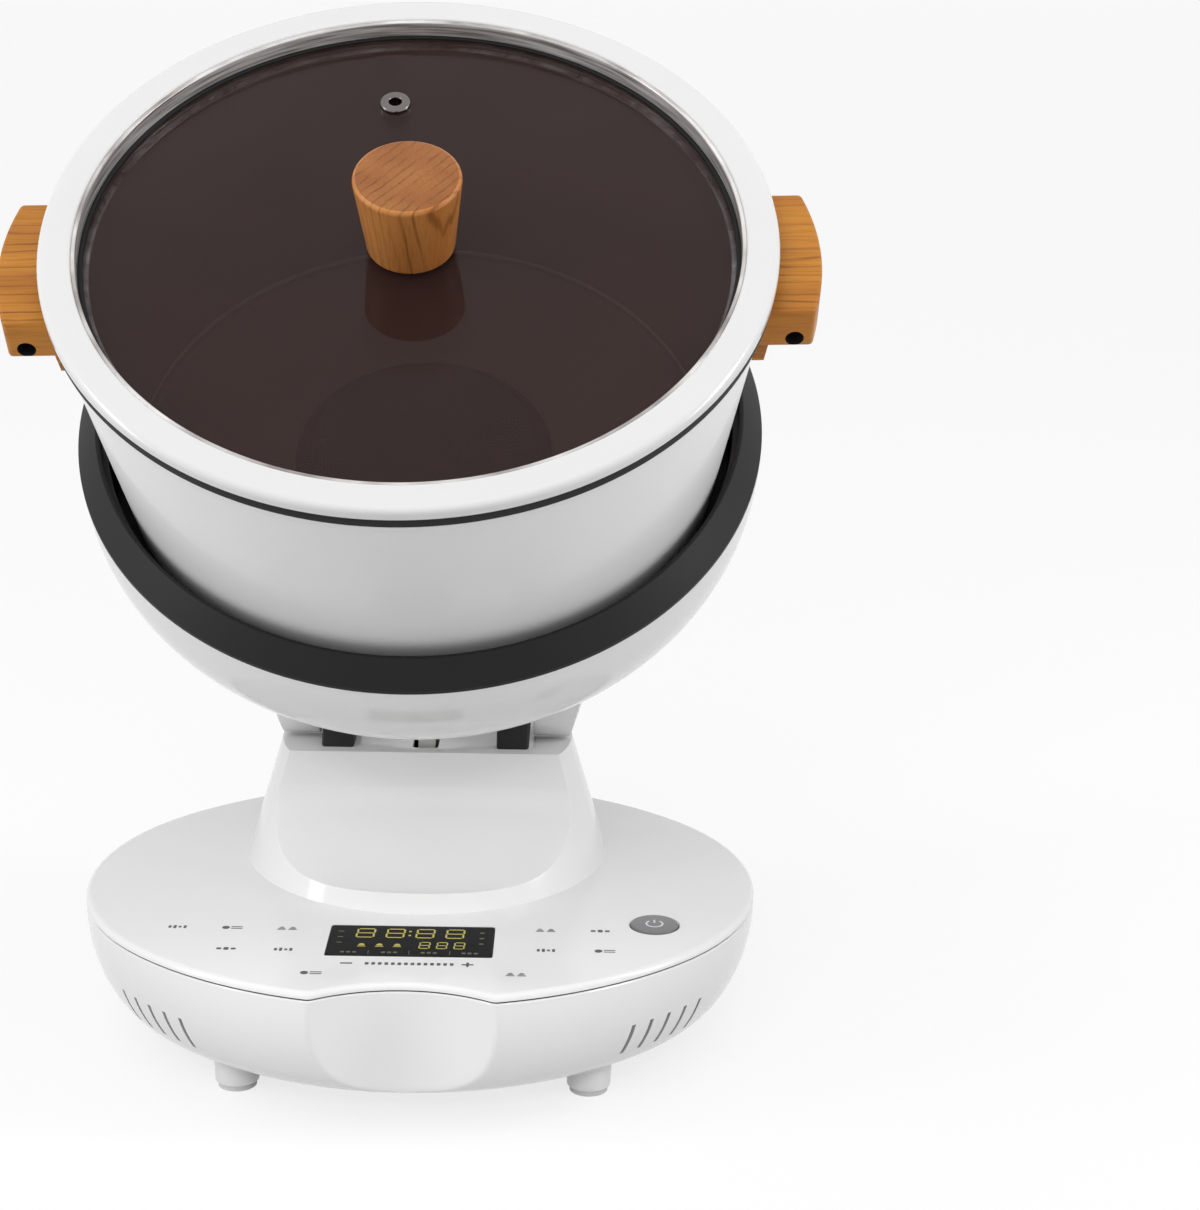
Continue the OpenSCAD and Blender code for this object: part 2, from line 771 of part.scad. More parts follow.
module power_switch() {
    board_w = 2 * switch_post_x + 8;
    board_d = 16;
    color("darkgreen") on_base() translate([button_x, -button_y, switch_top - switch_h]) {
        translate([-board_w / 2, -board_d / 2, -board_t]) cube([board_w, board_d, board_t]);
        translate([0, 0, -board_t / 2]) cylinder(h = switch_h + board_t / 2, r = 3.5);
    }
}

module power_board() {
    color("darkgreen") on_base()
        translate([power_x - power_w / 2, power_y - power_d / 2, floor_z + power_post_h])
            cube([power_w, power_d, board_t]);
}

// Capacitor, transformer, relay and heat sink on the power board
module board_parts() {
    color("slategray") on_base() translate([power_x, power_y, floor_z + power_post_h + board_t]) {
        translate([-power_w * 0.3, -power_d * 0.25, 0]) cylinder(h = capacitor_h, r = capacitor_r);
        translate([-power_w * 0.1, -power_d * 0.38, 0]) cube(transformer_size);
        translate([-power_w * 0.42, power_d * 0.1, 0]) cube(relay_size);
        translate([-power_w * 0.05, power_d * 0.12, 0]) cube(heat_sink_size);
    }
}

module fan_frame() {
    bore = fan_side / 2 - fan_wall;
    color("black") on_base() translate([fan_x, fan_y, floor_z]) {
        difference() {
            translate([-fan_side / 2, -fan_side / 2, 0]) cube([fan_side, fan_side, fan_t]);
            translate([0, 0, -1]) cylinder(h = fan_t + 2, r = bore);
        }
        for (a = [0, 90])
            rotate([0, 0, a + 45]) translate([-bore - 1, -1.5, 0]) cube([2 * bore + 2, 3, 1.6]);
        cylinder(h = 2, r = fan_hub_r);
        cylinder(h = fan_t - 3, r = spindle_r);
    }
}

module fan_rotor() {
    bottom = 2.6;
    hub_h = fan_t - bottom - 1;
    blade_r = fan_side / 2 - fan_wall - 0.8;
    color("dimgray") on_base() translate([fan_x, fan_y, floor_z + bottom]) difference() {
        union() {
            cylinder(h = hub_h, r = fan_hub_r);
            intersection() {
                cylinder(h = hub_h, r = blade_r);
                for (k = [0:fan_blades - 1])
                    rotate([0, 0, k * 360 / fan_blades])
                        translate([fan_side / 4 + 1, 0, hub_h / 2])
                            rotate([40, 0, 0])
                                cube([fan_side / 2, 1.4, hub_h * 1.1], center = true);
            }
        }
        translate([0, 0, -1]) cylinder(h = fan_t, r = spindle_r + run_gap);
    }
}

// Depth and height of the inlet's socket
socket_d = inlet_d - 4;
socket_h = inlet_h - 2 * inlet_wall - 1;

// Places of the inlet's three blades, sideways and from the inlet's middle
blade_places = [[-7, 2], [7, 2], [0, 5.5]];
blade_w = 2;
blade_h = 4;

module mains_inlet() {
    color("dimgray") on_base() translate([0, inlet_y, inlet_z]) difference() {
        translate([-inlet_w / 2, 0, -inlet_h / 2]) cube([inlet_w, inlet_d, inlet_h]);
        translate([-inlet_w / 2 + inlet_wall, inlet_d - socket_d, -socket_h / 2])
            cube([inlet_w - 2 * inlet_wall, socket_d + 1, socket_h]);
        for (p = blade_places)
            translate([p[0] - blade_w / 2, -1, p[1] - blade_h / 2]) cube([blade_w, inlet_d, blade_h]);
    }
}

module inlet_pins() {
    color("gold") on_base() translate([0, inlet_y, inlet_z])
        for (p = blade_places)
            translate([p[0] - blade_w / 2, -4, p[1] - blade_h / 2]) cube([blade_w, inlet_d + 1, blade_h]);
}

// Pedestal's cone, drawn in by a wall
module pedestal_cone(wall, drop) {
    slope = (ped_r - ped_top_r) / ped_h;
    translate([0, ped_y, deck_top - drop])
        cylinder(h = ped_h + drop - wall,
            r1 = ped_r - wall + slope * drop, r2 = ped_top_r - wall + slope * wall);
}

module pedestal_scoop(r) {
    translate([0, ped_scoop_y - ped_scoop_r, deck_top + ped_scoop_h]) bar_x(-far / 2, far / 2, r);
}

module pedestal() {
    slot_d = 2 * sqrt(pow(sector_r + gear_module, 2) - pivot_h * pivot_h) + 6;
    color("white") on_base() difference() {
        union() {
            difference() {
                pedestal_cone(0, 0);
                pedestal_scoop(ped_scoop_r);
                difference() {
                    pedestal_cone(ped_wall, 1);
                    pedestal_scoop(ped_scoop_r + ped_wall);
                }
            }
            translate([0, ped_y, 0])
                ring(deck_top, ped_flange_t, ped_r - ped_wall, ped_r - ped_wall - ped_flange_w);
        }
        translate([-mount_x + 1, pivot_y - slot_d / 2, ped_top - ped_wall - 1])
            cube([2 * mount_x - 2, slot_d, ped_wall + 2]);
        for (side = [-1, 1])
            for (end = [-1, 1])
                translate([side * bracket_mid, pivot_y + end * bracket_foot / 3, ped_top - far / 2])
                    cylinder(h = far, r = ped_screw_r + hole_gap);
        translate([0, ped_y, 0])
            for (a = [45:90:315])
                rotate([0, 0, a]) translate([ped_screw_at, 0, deck_top - 1])
                    cylinder(h = ped_flange_t + 2, r = ped_screw_r + hole_gap);
    }
}

module pedestal_screws() {
    head_h = 2.4;
    color("silver") on_base() translate([0, ped_y, 0])
        for (a = [45:90:315])
            rotate([0, 0, a]) translate([ped_screw_at, 0, 0]) {
                translate([0, 0, seam_z - head_h]) cylinder(h = head_h, r = 2 * ped_screw_r);
                translate([0, 0, seam_z - 1]) cylinder(h = deck_t + ped_flange_t + 1, r = ped_screw_r);
            }
}

module hinge_bracket(from) {
    color("black") on_base() translate([0, pivot_y, pivot_z]) difference() {
        along_x(from, from + bracket_w) union() {
            circle(bracket_head_r);
            polygon([[-bracket_foot / 2, -pivot_h], [bracket_foot / 2, -pivot_h],
                [bracket_head_r, 0], [-bracket_head_r, 0]]);
        }
        bar_x(from - 1, from + bracket_w + 1, bush_r + seat_fit);
        for (end = [-1, 1])
            translate([from + bracket_w / 2, end * bracket_foot / 3, -pivot_h - 1])
                cylinder(h = pivot_h / 2 + 1, r = ped_screw_r + hole_gap);
    }
}
module hinge_bracket_left() { hinge_bracket(-bracket_x - bracket_w); }
module hinge_bracket_right() { hinge_bracket(bracket_x); }

module hinge_bushes() {
    color("peru") on_base() translate([0, pivot_y, pivot_z])
        for (from = [-bracket_x - bracket_w, bracket_x])
            difference() {
                bar_x(from, from + bracket_w, bush_r);
                bar_x(from - 1, from + bracket_w + 1, shaft_r + run_gap);
            }
}

module bracket_screws() {
    head_h = 2.4;
    color("silver") on_base()
        for (side = [-1, 1])
            for (end = [-1, 1])
                translate([side * bracket_mid, pivot_y + end * bracket_foot / 3, ped_top - ped_wall]) {
                    translate([0, 0, -head_h]) cylinder(h = head_h, r = 2 * ped_screw_r);
                    translate([0, 0, -1]) cylinder(h = ped_wall + pivot_h / 2, r = ped_screw_r);
                }
}

module motor_mount() {
    flange_w = 12;
    low = gearbox_z - gearbox_r;
    color("silver") on_base() difference() {
        union() {
            translate([mount_x, gearbox_y - gearbox_r, low])
                cube([mount_t, 2 * gearbox_r, ped_top - ped_wall - low]);
            translate([mount_x, gearbox_y - gearbox_r, ped_top - ped_wall - mount_t])
                cube([flange_w, 2 * gearbox_r, mount_t]);
        }
        translate([0, pinion_y, pinion_z]) bar_x(mount_x - 1, mount_x + mount_t + 1, pinion_shaft_r + 2);
    }
}

module tilt_gearbox() {
    from = mount_x + mount_t;
    color("gray") on_base() difference() {
        translate([0, gearbox_y, gearbox_z]) bar_x(from, from + gearbox_l, gearbox_r);
        translate([0, pinion_y, pinion_z]) bar_x(from - 1, from + gearbox_l * 0.6, pinion_shaft_r + run_gap);
    }
}

module tilt_motor() {
    from = mount_x + mount_t + gearbox_l;
    color("silver") on_base() translate([0, gearbox_y, gearbox_z]) bar_x(from, from + motor_l, motor_r);
}

// Outline of a gear with straight-sided teeth, one tooth pointing along the given angle
module gear_outline(teeth, first) {
    r = gear_module * teeth / 2;
    half = 0.8 * PI * gear_module / 4;
    lean = tan(20) * gear_module;
    tip_r = r + 0.9 * gear_module;
    root_r = r - 1.2 * gear_module;
    tip = (half - lean) / tip_r * 180 / PI;
    root = (half + 1.2 * lean) / root_r * 180 / PI;
    polygon([for (k = [0:teeth - 1]) let (a = first + k * 360 / teeth)
        each [[root_r * cos(a - root), root_r * sin(a - root)], [tip_r * cos(a - tip), tip_r * sin(a - tip)],
            [tip_r * cos(a + tip), tip_r * sin(a + tip)], [root_r * cos(a + root), root_r * sin(a + root)]]]);
}

module tilt_sector() {
    reach = 2 * sector_r;
    hub = shaft_r + 6;
    color("whitesmoke") on_base() translate([0, pivot_y, pivot_z]) difference() {
        along_x(-gear_w / 2, gear_w / 2) union() {
            circle(hub);
            intersection() {
                gear_outline(sector_teeth, -mesh_angle + 180 / sector_teeth);
                polygon(concat([[0, 0]],
                    arc(0, 0, reach, -mesh_angle - sector_back, -mesh_angle + sector_fore, 8)));
            }
        }
        bar_x(-gear_w, gear_w, shaft_r + seat_fit);
    }
}

module tilt_pinion() {
    color("whitesmoke") on_base() translate([0, pinion_y, pinion_z]) {
        along_x(-gear_w / 2 - 1, gear_w / 2 + 1) gear_outline(pinion_teeth, 180 - mesh_angle);
        bar_x(0, mount_x + mount_t + gearbox_l * 0.5, pinion_shaft_r);
    }
}

module tilt_shaft() {
    reach = cheek_x + cheek_w * 0.7;
    color("silver") on_base() translate([0, pivot_y, pivot_z]) bar_x(-reach, reach, shaft_r);
}

// Neck under the bowl: two cheeks on the tilt shaft, with a web across the bowl's floor
module neck() {
    web_z = bowl_floor - web_t;
    flare_h = 1.5 * neck_h;
    color("white") difference() {
        on_base() translate([0, pivot_y, pivot_z]) intersection() {
            along_x(-far / 2, far / 2) union() {
                circle(barrel_r);
                polygon([[-barrel_r, 0], [barrel_r, 0], [neck_back, neck_h], [-neck_front, neck_h],
                    [-neck_chin, neck_chin_h]]);
            }
            translate([0, 0, -barrel_r])
                cylinder(h = flare_h, r1 = cheek_out, r2 = cheek_out + flare_h * cheek_flare);
        }
        on_axis() rotate_extrude() bowl_section(0);
        on_axis() translate([0, 0, -bowl_lip]) cylinder(h = far, r = bowl_r);
        on_axis() translate([-cheek_x, -far / 2, web_z - far]) cube([2 * cheek_x, far, far]);
        on_base() translate([0, pivot_y, pivot_z])
            bar_x(-cheek_x - cheek_w * 0.7, cheek_x + cheek_w * 0.7, shaft_r + seat_fit);
        on_axis() neck_screw_places()
            translate([0, 0, web_z - 1]) cylinder(h = web_t + 2, r = ped_screw_r + hole_gap);
        on_axis() translate([0, 0, web_z - 1]) cylinder(h = web_t + 2, r = wire_hole_r);
    }
}

module neck_screw_places() {
    for (side = [-1, 1])
        for (end = [-1, 1])
            translate([side * neck_screw_x, end * neck_screw_y, 0]) children();
}

module neck_screws() {
    head_h = 2.4;
    color("silver") on_axis() neck_screw_places() {
        translate([0, 0, bowl_floor + bowl_wall]) cylinder(h = head_h, r = 2 * ped_screw_r);
        translate([0, 0, bowl_floor - web_t + 1]) cylinder(h = bowl_wall + web_t, r = ped_screw_r);
    }
}

// Bowl's section, drawn in by a wall
module bowl_section(wall) {
    intersection() {
        union() {
            translate([bowl_r - bowl_arc_r, -bowl_lip]) circle(bowl_arc_r - wall);
            translate([0, bowl_floor + wall]) square([bowl_r - bowl_arc_r, bowl_arc_r - wall]);
            translate([0, -bowl_lip]) square([bowl_r - wall, bowl_lip + wall]);
        }
        translate([0, bowl_floor - 1]) square([2 * bowl_r, bowl_arc_r + bowl_lip + 1 + wall]);
    }
}

module bowl_shell() {
    color("whitesmoke") on_axis() difference() {
        rotate_extrude() bowl_section(0);
        rotate_extrude() bowl_section(bowl_wall);
        translate([0, 0, bowl_floor - 1]) cylinder(h = bowl_wall + 2, r = wire_hole_r);
        neck_screw_places()
            translate([0, 0, bowl_floor - 1]) cylinder(h = bowl_wall + 2, r = ped_screw_r + hole_gap);
    }
}

module collar() {
    edge = 1;
    spigot_h = 5;
    color("black") on_axis() difference() {
        rotate_extrude()
            polygon([[collar_in_r, ledge_z], [collar_in_r, collar_h - edge],
                [collar_in_r + edge * 0.3, collar_h - edge * 0.3], [collar_in_r + edge, collar_h],
                [collar_in_r + 1.8 * edge, collar_h - edge * 0.2],
                [collar_out_r - edge * 0.4, 2.4 * edge], [collar_out_r, 1.6 * edge], [collar_out_r, 0],
                [spigot_r, 0], [spigot_r, -spigot_h], [spigot_r - spigot_w, -spigot_h],
                [spigot_r - spigot_w, ledge_z]]);
        collar_screw_places() translate([0, 0, ledge_z - 1]) cylinder(h = 4.2, r = 1.4 + hole_gap);
    }
}

module collar_screw_places() {
    for (k = [0:collar_screw_count - 1])
        rotate([0, 0, (k + 0.5) * 360 / collar_screw_count]) translate([collar_screw_at, 0, 0]) children();
}

module collar_screws() {
    color("silver") on_axis() collar_screw_places() {
        translate([0, 0, ledge_z - liner_t - 2.2]) cylinder(h = 2.2, r = 2.3);
        translate([0, 0, ledge_z - liner_t - 1]) cylinder(h = liner_t + 4, r = 1.4);
    }
}

module bowl_liner() {
    flange_r = spigot_r - spigot_w - 0.2;
    color("silver") on_axis() difference() {
        rotate_extrude()
            polygon([[hub_bush_r + 1, liner_under], [liner_out_r, liner_under],
                [liner_out_r, ledge_z - liner_t],
                [flange_r, ledge_z - liner_t], [flange_r, ledge_z], [liner_in_r, ledge_z],
                [liner_in_r, liner_floor], [hub_bush_r + 1, liner_floor]]);
        collar_screw_places() translate([0, 0, 0]) cylinder(h = 2 * ledge_z, r = 1.4 + hole_gap);
    }
}

module mica_sheet() {
    color("khaki") on_axis() ring(coil_top, sheet_t, coil_r + 2, coil_in_r - 4);
}

module heating_coil() {
    color("chocolate") on_axis() ring(tray_top, coil_t, coil_r, coil_in_r);
}

module coil_tray() {
    wall = 3;
    color("dimgray") on_axis()
        rotate_extrude()
            polygon([[hub_bush_r + seat_fit, tray_under], [tray_r, tray_under], [tray_r, liner_under],
                [tray_r - wall, liner_under], [tray_r - wall, tray_top], [hub_bush_r + 6, tray_top],
                [hub_bush_r + 6, liner_under], [hub_bush_r + seat_fit, liner_under]]);
}

module temp_sensor() {
    at = (hub_bush_r + 6 + coil_in_r - 4) / 2;
    color("white") on_axis() translate([at, 0, tray_top]) cylinder(h = liner_under - tray_top, r = 4);
}

module hub_bush() {
    color("peru") on_axis() ring(tray_under, liner_under - tray_under, hub_bush_r, hub_shaft_r + run_gap);
}

module spin_motor() {
    color("silver") on_axis() difference() {
        union() {
            translate([0, 0, spin_motor_top]) cylinder(h = spin_flange_t, r = spin_motor_r + 9);
            translate([0, 0, spin_motor_top - spin_motor_l]) cylinder(h = spin_motor_l + 1, r = spin_motor_r);
        }
        translate([0, 0, spin_motor_top - spin_bore_l]) cylinder(h = far, r = hub_shaft_r + run_gap);
    }
}

module hub_shaft() {
    low = spin_motor_top - spin_bore_l + run_gap;
    color("silver") on_axis() translate([0, 0, low]) cylinder(h = hub_top - 2 - low, r = hub_shaft_r);
}

module drive_pins(z, h, grow) {
    for (k = [0:2])
        rotate([0, 0, 120 * k + 30]) translate([drive_pin_at, 0, z]) cylinder(h = h, r = drive_pin_r + grow);
}

module drive_hub() {
    color("dimgray") on_axis() difference() {
        union() {
            translate([0, 0, hub_bottom]) cylinder(h = hub_top - hub_bottom, r = hub_r);
            drive_pins(hub_top - 1, coupling_t + 0.6, 0);
        }
        translate([0, 0, hub_bottom - 1])
            cylinder(h = hub_top - 2 - hub_bottom + 1, r = hub_shaft_r + seat_fit);
    }
}

module pot_coupling() {
    color("silver") on_axis() difference() {
        translate([0, 0, coupling_z]) cylinder(h = coupling_t, r = hub_r);
        drive_pins(coupling_z - 1, coupling_t + 2, drive_pin_gap);
    }
}

// Side of the pot as a cone, grown by a gap
module pot_cone(grow, from, to) {
    translate([0, 0, from]) cylinder(h = to - from, r1 = pot_wall_r(from) + grow, r2 = pot_wall_r(to) + grow);
}

module pot() {
    inner_floor = pot_floor + pot_floor_t;
    inner_corner = pot_corner_r - pot_wall;
    out_corner_x = pot_wall_r(pot_floor + pot_corner_r) - pot_corner_r;
    in_corner_x = pot_wall_r(inner_floor + inner_corner) - pot_wall - inner_corner;
    color("silver") on_axis() rotate_extrude() polygon(concat(
        [[0, boss_under], [boss_r - pot_floor_t / 2, boss_under],
            [boss_r - pot_floor_t / 2 + boss_h, pot_floor]],
        arc(out_corner_x, pot_floor + pot_corner_r, pot_corner_r, -90, 0),
        [[pot_wall_r(pot_rise - pot_lip_t - pot_lip_w), pot_rise - pot_lip_t - pot_lip_w],
            [pot_r + pot_lip_w, pot_rise - pot_lip_t], [pot_r + pot_lip_w, pot_rise - 0.5],
            [pot_r + pot_lip_w - 0.5, pot_rise], [pot_r - pot_wall + 0.5, pot_rise],
            [pot_r - pot_wall, pot_rise - 0.5]],
        arc(in_corner_x, inner_floor + inner_corner, inner_corner, 0, -90),
        [[boss_r + boss_h, inner_floor], [boss_r, inner_floor + boss_h], [0, inner_floor + boss_h]]));
}

// Handle on the pot's right, with a blind hole in its front end and a thin leg down the pot's wall
module handle_solid() {
    low = handle_z - leg_h;
    face_x = handle_reach - handle_face_r;
    difference() {
        union() {
            intersection() {
                translate([0, -handle_l / 2, handle_z]) cube([far, handle_l, handle_t]);
                translate([face_x, 0, handle_z]) cylinder(h = handle_t, r = handle_face_r);
            }
            intersection() {
                translate([0, -handle_l / 2 + 2, low]) cube([far, handle_l - 4, leg_h + 1]);
                pot_cone(handle_gap + leg_t, low, handle_z + 1);
            }
        }
        pot_cone(handle_gap, low - 1, handle_top + 1);
        translate([handle_bore_x, handle_bore_l - handle_l / 2, handle_z + handle_bore_z])
            rotate([90, 0, 0]) cylinder(h = handle_l, r = handle_bore_r);
        translate([0, -tab_w / 2 - handle_gap, tab_z - handle_gap])
            cube([tab_reach + handle_gap, tab_w + 2 * handle_gap, tab_t + 2 * handle_gap]);
        handle_screw_places() cylinder(h = far, r = handle_screw_r + hole_gap, center = true);
        handle_screw_places()
            translate([0, 0, low - 1]) cylinder(h = leg_h + 1, r = handle_head_r + hole_gap);
    }
}
module handle_right() { color("peru") on_pot() handle_solid(); }
module handle_left() { color("peru") on_pot() mirror([1, 0, 0]) handle_solid(); }

module handle_screw_places() {
    for (end = [-1, 1])
        translate([tab_reach - 3.2, end * tab_w / 4, 0]) children();
}

// Steel tabs that stand out from the pot's wall into the handles
module handle_brackets() {
    color("dimgray") on_pot()
        for (side = [0, 1])
            mirror([side, 0, 0]) difference() {
                translate([0, -tab_w / 2, tab_z]) cube([tab_reach, tab_w, tab_t]);
                pot_cone(seat_fit, tab_z - 1, tab_z + tab_t + 1);
                handle_screw_places() cylinder(h = far, r = handle_screw_r + hole_gap, center = true);
            }
}

module handle_screws() {
    head_h = 1.8;
    color("silver") on_pot()
        for (side = [0, 1])
            mirror([side, 0, 0]) handle_screw_places() {
                translate([0, 0, handle_z - head_h]) cylinder(h = head_h, r = handle_head_r);
                translate([0, 0, handle_z - 1])
                    cylinder(h = tab_z + tab_t - handle_z + 1, r = handle_screw_r);
            }
}

module lid_rim() {
    inner_edge = 0.8;
    color("white") on_axis() rotate_extrude() {
        polygon([[rim_in_r, rim_z], [lid_r, rim_z], [lid_r, lid_top - rim_edge_r],
            [lid_r - rim_edge_r, lid_top - rim_edge_r], [lid_r - rim_edge_r, lid_top],
            [rim_in_r + inner_edge, lid_top], [rim_in_r, lid_top - inner_edge]]);
        translate([lid_r - rim_edge_r, lid_top - rim_edge_r]) intersection() {
            circle(rim_edge_r);
            square(rim_edge_r);
        }
    }
}

module lid_band() {
    color("silver") on_axis() rotate_extrude()
        polygon([[band_in_r - ledge_w, glass_z - ledge_t], [band_out_r, glass_z - ledge_t],
            [band_out_r, lid_top - 1], [band_in_r, lid_top - 1], [band_in_r, glass_z],
            [band_in_r - ledge_w, glass_z]]);
}

module lid_gasket() {
    outer = lid_r - 0.6;
    color("black") on_axis() rotate_extrude()
        polygon([[outer - gasket_w, gasket_z], [outer - 0.6, gasket_z], [outer, gasket_z + 0.6],
            [outer, rim_z], [outer - gasket_w, rim_z]]);
}

module lid_glass() {
    color("saddlebrown", 0.6) on_axis() difference() {
        translate([0, 0, glass_z]) cylinder(h = glass_t, r = glass_r);
        translate([0, 0, glass_z - 1]) cylinder(h = glass_t + 2, r = knob_screw_r + 0.6);
        rotate(vent_turn) translate([0, vent_at, glass_z - 1])
            cylinder(h = glass_t + 2, r = vent_r + vent_wall + hole_gap);
    }
}

module glass_seal() {
    color("black") on_axis() ring(glass_top, seal_t, band_in_r - seat_fit, band_in_r - seat_fit - seal_w);
}

module vent_grommet() {
    out = vent_r + vent_wall;
    color("silver") on_axis() rotate(vent_turn) translate([0, vent_at, 0]) {
        ring(glass_z - vent_flange_t, glass_t + 2 * vent_flange_t, out, vent_r);
        ring(glass_top, vent_flange_t, out + vent_flange, out - 1);
        ring(glass_z - vent_flange_t, vent_flange_t, out + vent_flange, out - 1);
    }
}

module lid_knob() {
    top = knob_z + knob_h;
    color("peru") on_axis() difference() {
        rotate_extrude() polygon(concat(
            [[0, knob_z], [knob_low_r - knob_edge_r / 2, knob_z], [knob_low_r, knob_z + knob_edge_r / 2]],
            arc(knob_top_r - knob_edge_r, top - knob_edge_r, knob_edge_r, 0, 90, 6),
            [[0, top]]));
        translate([0, 0, knob_z - 1]) cylinder(h = knob_screw_len + 2, r = knob_screw_r + hole_gap);
    }
}

module knob_washer() {
    color("silver") on_axis() ring(glass_top, washer_t, washer_r, knob_screw_r + hole_gap);
}

module knob_screw() {
    head_h = 3;
    color("silver") on_axis() {
        translate([0, 0, glass_z - head_h]) cylinder(h = head_h, r = 2.4 * knob_screw_r);
        translate([0, 0, glass_z - 1]) cylinder(h = knob_z + knob_screw_len - glass_z + 1, r = knob_screw_r);
    }
}

module power_button() {
    color("darkgray") on_base() translate([button_x, -button_y, 0]) {
        translate([0, 0, button_under - 1])
            cylinder(h = deck_top + button_rise - button_under + 1, r = button_r);
        translate([0, 0, button_under - button_rim_t]) cylinder(h = button_rim_t, r = button_r + button_rim);
        translate([0, 0, stem_end]) cylinder(h = button_stem + 1, r = 3);
    }
}

base_shell();
deck();
feet();
foot_pads();
base_screws();
display_window();
touch_board();
display_module();
power_switch();
power_board();
board_parts();
fan_frame();
mains_inlet();
inlet_pins();
pedestal();
pedestal_screws();
hinge_bracket_left();
hinge_bracket_right();
hinge_bushes();
bracket_screws();
motor_mount();
tilt_gearbox();
tilt_motor();
tilt_pinion();
fan_rotor();
power_button();
bowl_shell();
collar();
bowl_liner();
collar_screws();
neck();
neck_screws();
tilt_shaft();
tilt_sector();
coil_tray();
heating_coil();
mica_sheet();
temp_sensor();
spin_motor();
hub_bush();
hub_shaft();
drive_hub();
pot();
pot_coupling();
handle_left();
handle_right();
handle_brackets();
handle_screws();
lid_rim();
lid_band();
lid_gasket();
lid_glass();
glass_seal();
vent_grommet();
lid_knob();
knob_washer();
knob_screw();
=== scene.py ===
import json
import math

import bmesh
import bpy
from mathutils import Matrix, Vector


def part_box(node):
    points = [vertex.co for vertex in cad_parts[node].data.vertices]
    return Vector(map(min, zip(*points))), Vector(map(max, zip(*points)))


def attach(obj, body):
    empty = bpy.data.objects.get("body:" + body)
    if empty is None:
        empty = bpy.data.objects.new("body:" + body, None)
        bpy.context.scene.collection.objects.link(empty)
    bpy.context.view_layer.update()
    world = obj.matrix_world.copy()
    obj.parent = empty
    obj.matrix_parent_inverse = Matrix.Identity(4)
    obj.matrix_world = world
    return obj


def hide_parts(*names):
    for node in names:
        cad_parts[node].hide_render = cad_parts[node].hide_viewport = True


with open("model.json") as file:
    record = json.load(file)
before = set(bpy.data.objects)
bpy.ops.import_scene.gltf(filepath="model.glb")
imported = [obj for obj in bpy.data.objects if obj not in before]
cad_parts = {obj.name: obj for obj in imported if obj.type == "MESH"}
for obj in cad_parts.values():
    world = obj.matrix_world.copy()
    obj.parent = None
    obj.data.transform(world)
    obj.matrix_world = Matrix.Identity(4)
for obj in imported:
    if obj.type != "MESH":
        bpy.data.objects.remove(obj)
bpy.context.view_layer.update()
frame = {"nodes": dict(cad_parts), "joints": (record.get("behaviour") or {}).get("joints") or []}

# Lower shell
# The deep white tray of the base, an oval that curves in to a flat floor. One glossy moulding with a round
# hollow down the middle of its front and air slots through both front quarters; it screws to the deck.
mm = 0.001
pads_low, pads_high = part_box("foot_pads")
shell_low, shell_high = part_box("base_shell")
base_y = (pads_low.y + pads_high.y) / 2
half_w = shell_high.x
half_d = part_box("deck")[1].y - base_y
seam_z = shell_high.z
shell_floor = shell_low.z
end_r = 120 * mm
shell_inset = 34 * mm
shell_wall = 2.5 * mm
seam_edge = 0.5 * mm
hollow_r = 71 * mm
hollow_depth = 15 * mm
hollow_lean = math.radians(8)
hollow_round = 1.6 * mm
hollow_widest = 60 * mm
slot_angles = [math.radians(44.5 + 4.1 * k) for k in range(5)]
slot_half = 1.0 * mm
slot_low, slot_high = 31 * mm, 47 * mm
inlet_half_w = 15 * mm
inlet_low, inlet_high = 32.8 * mm, 55.2 * mm
hair = 0.01 * mm

end_x = half_w - end_r
side_y = (end_x ** 2 - (half_d - end_r) ** 2) / (2 * (half_d - end_r))
side_r = half_d + side_y
side_angle = math.atan2(end_x, side_y)
shell_depth = seam_z - shell_floor
hollow_y = half_d - hollow_depth + hollow_r


def ray_circle(start, along, centre, radius):
    """Where a line from inside a circle leaves it."""
    gap = start - centre
    half = gap.dot(along)
    return start + along * (-half + math.sqrt(half * half - gap.length_squared + radius * radius))


def oval_point(inset, azimuth, offset=0.0):
    """Point on the base's oval, drawn in by an inset, at an azimuth from the front and moved sideways."""
    along = Vector((math.sin(azimuth), -math.cos(azimuth)))
    start = Vector((math.cos(azimuth), math.sin(azimuth))) * offset
    toward = 1 if along.y > 0 else -1
    point = ray_circle(start, along, Vector((0, -toward * side_y)), side_r - inset)
    if abs(point.x) > end_x + (end_r - inset) * math.cos(side_angle):
        point = ray_circle(start, along, Vector((math.copysign(end_x, along.x), 0)), end_r - inset)
    return point


def oval_front(x, inset):
    """Front of the oval, drawn in by an inset, at a distance from the middle."""
    return side_y - math.sqrt((side_r - inset) ** 2 - x * x)


def front_y(x, z, inset, hollow_inset):
    """Front of the base at a height: the oval or the hollow, whichever is deeper, rounded where they meet."""
    oval = oval_front(x, inset)
    radius = hollow_r + hollow_inset
    if abs(x) >= radius:
        return oval
    middle = -hollow_y + math.tan(hollow_lean) * (seam_z - z)
    hollow = middle + math.sqrt(radius * radius - x * x) / math.cos(hollow_lean)
    overlap = max(hollow_round - abs(oval - hollow), 0) / hollow_round
    return max(oval, hollow) + overlap * overlap * hollow_round / 4


def edge_between(low, high, holds):
    """Value between two limits up to which a test holds, found by halving."""
    for _ in range(40):
        middle = (low + high) / 2
        low, high = (middle, high) if holds(middle) else (low, middle)
    return low


def hollow_edge(z, inset, hollow_inset):
    """Half width of the hollow at a height."""
    def is_hollow(x):
        return front_y(x, z, inset, hollow_inset) > oval_front(x, inset) + hair

    return edge_between(0.0, hollow_widest, is_hollow)


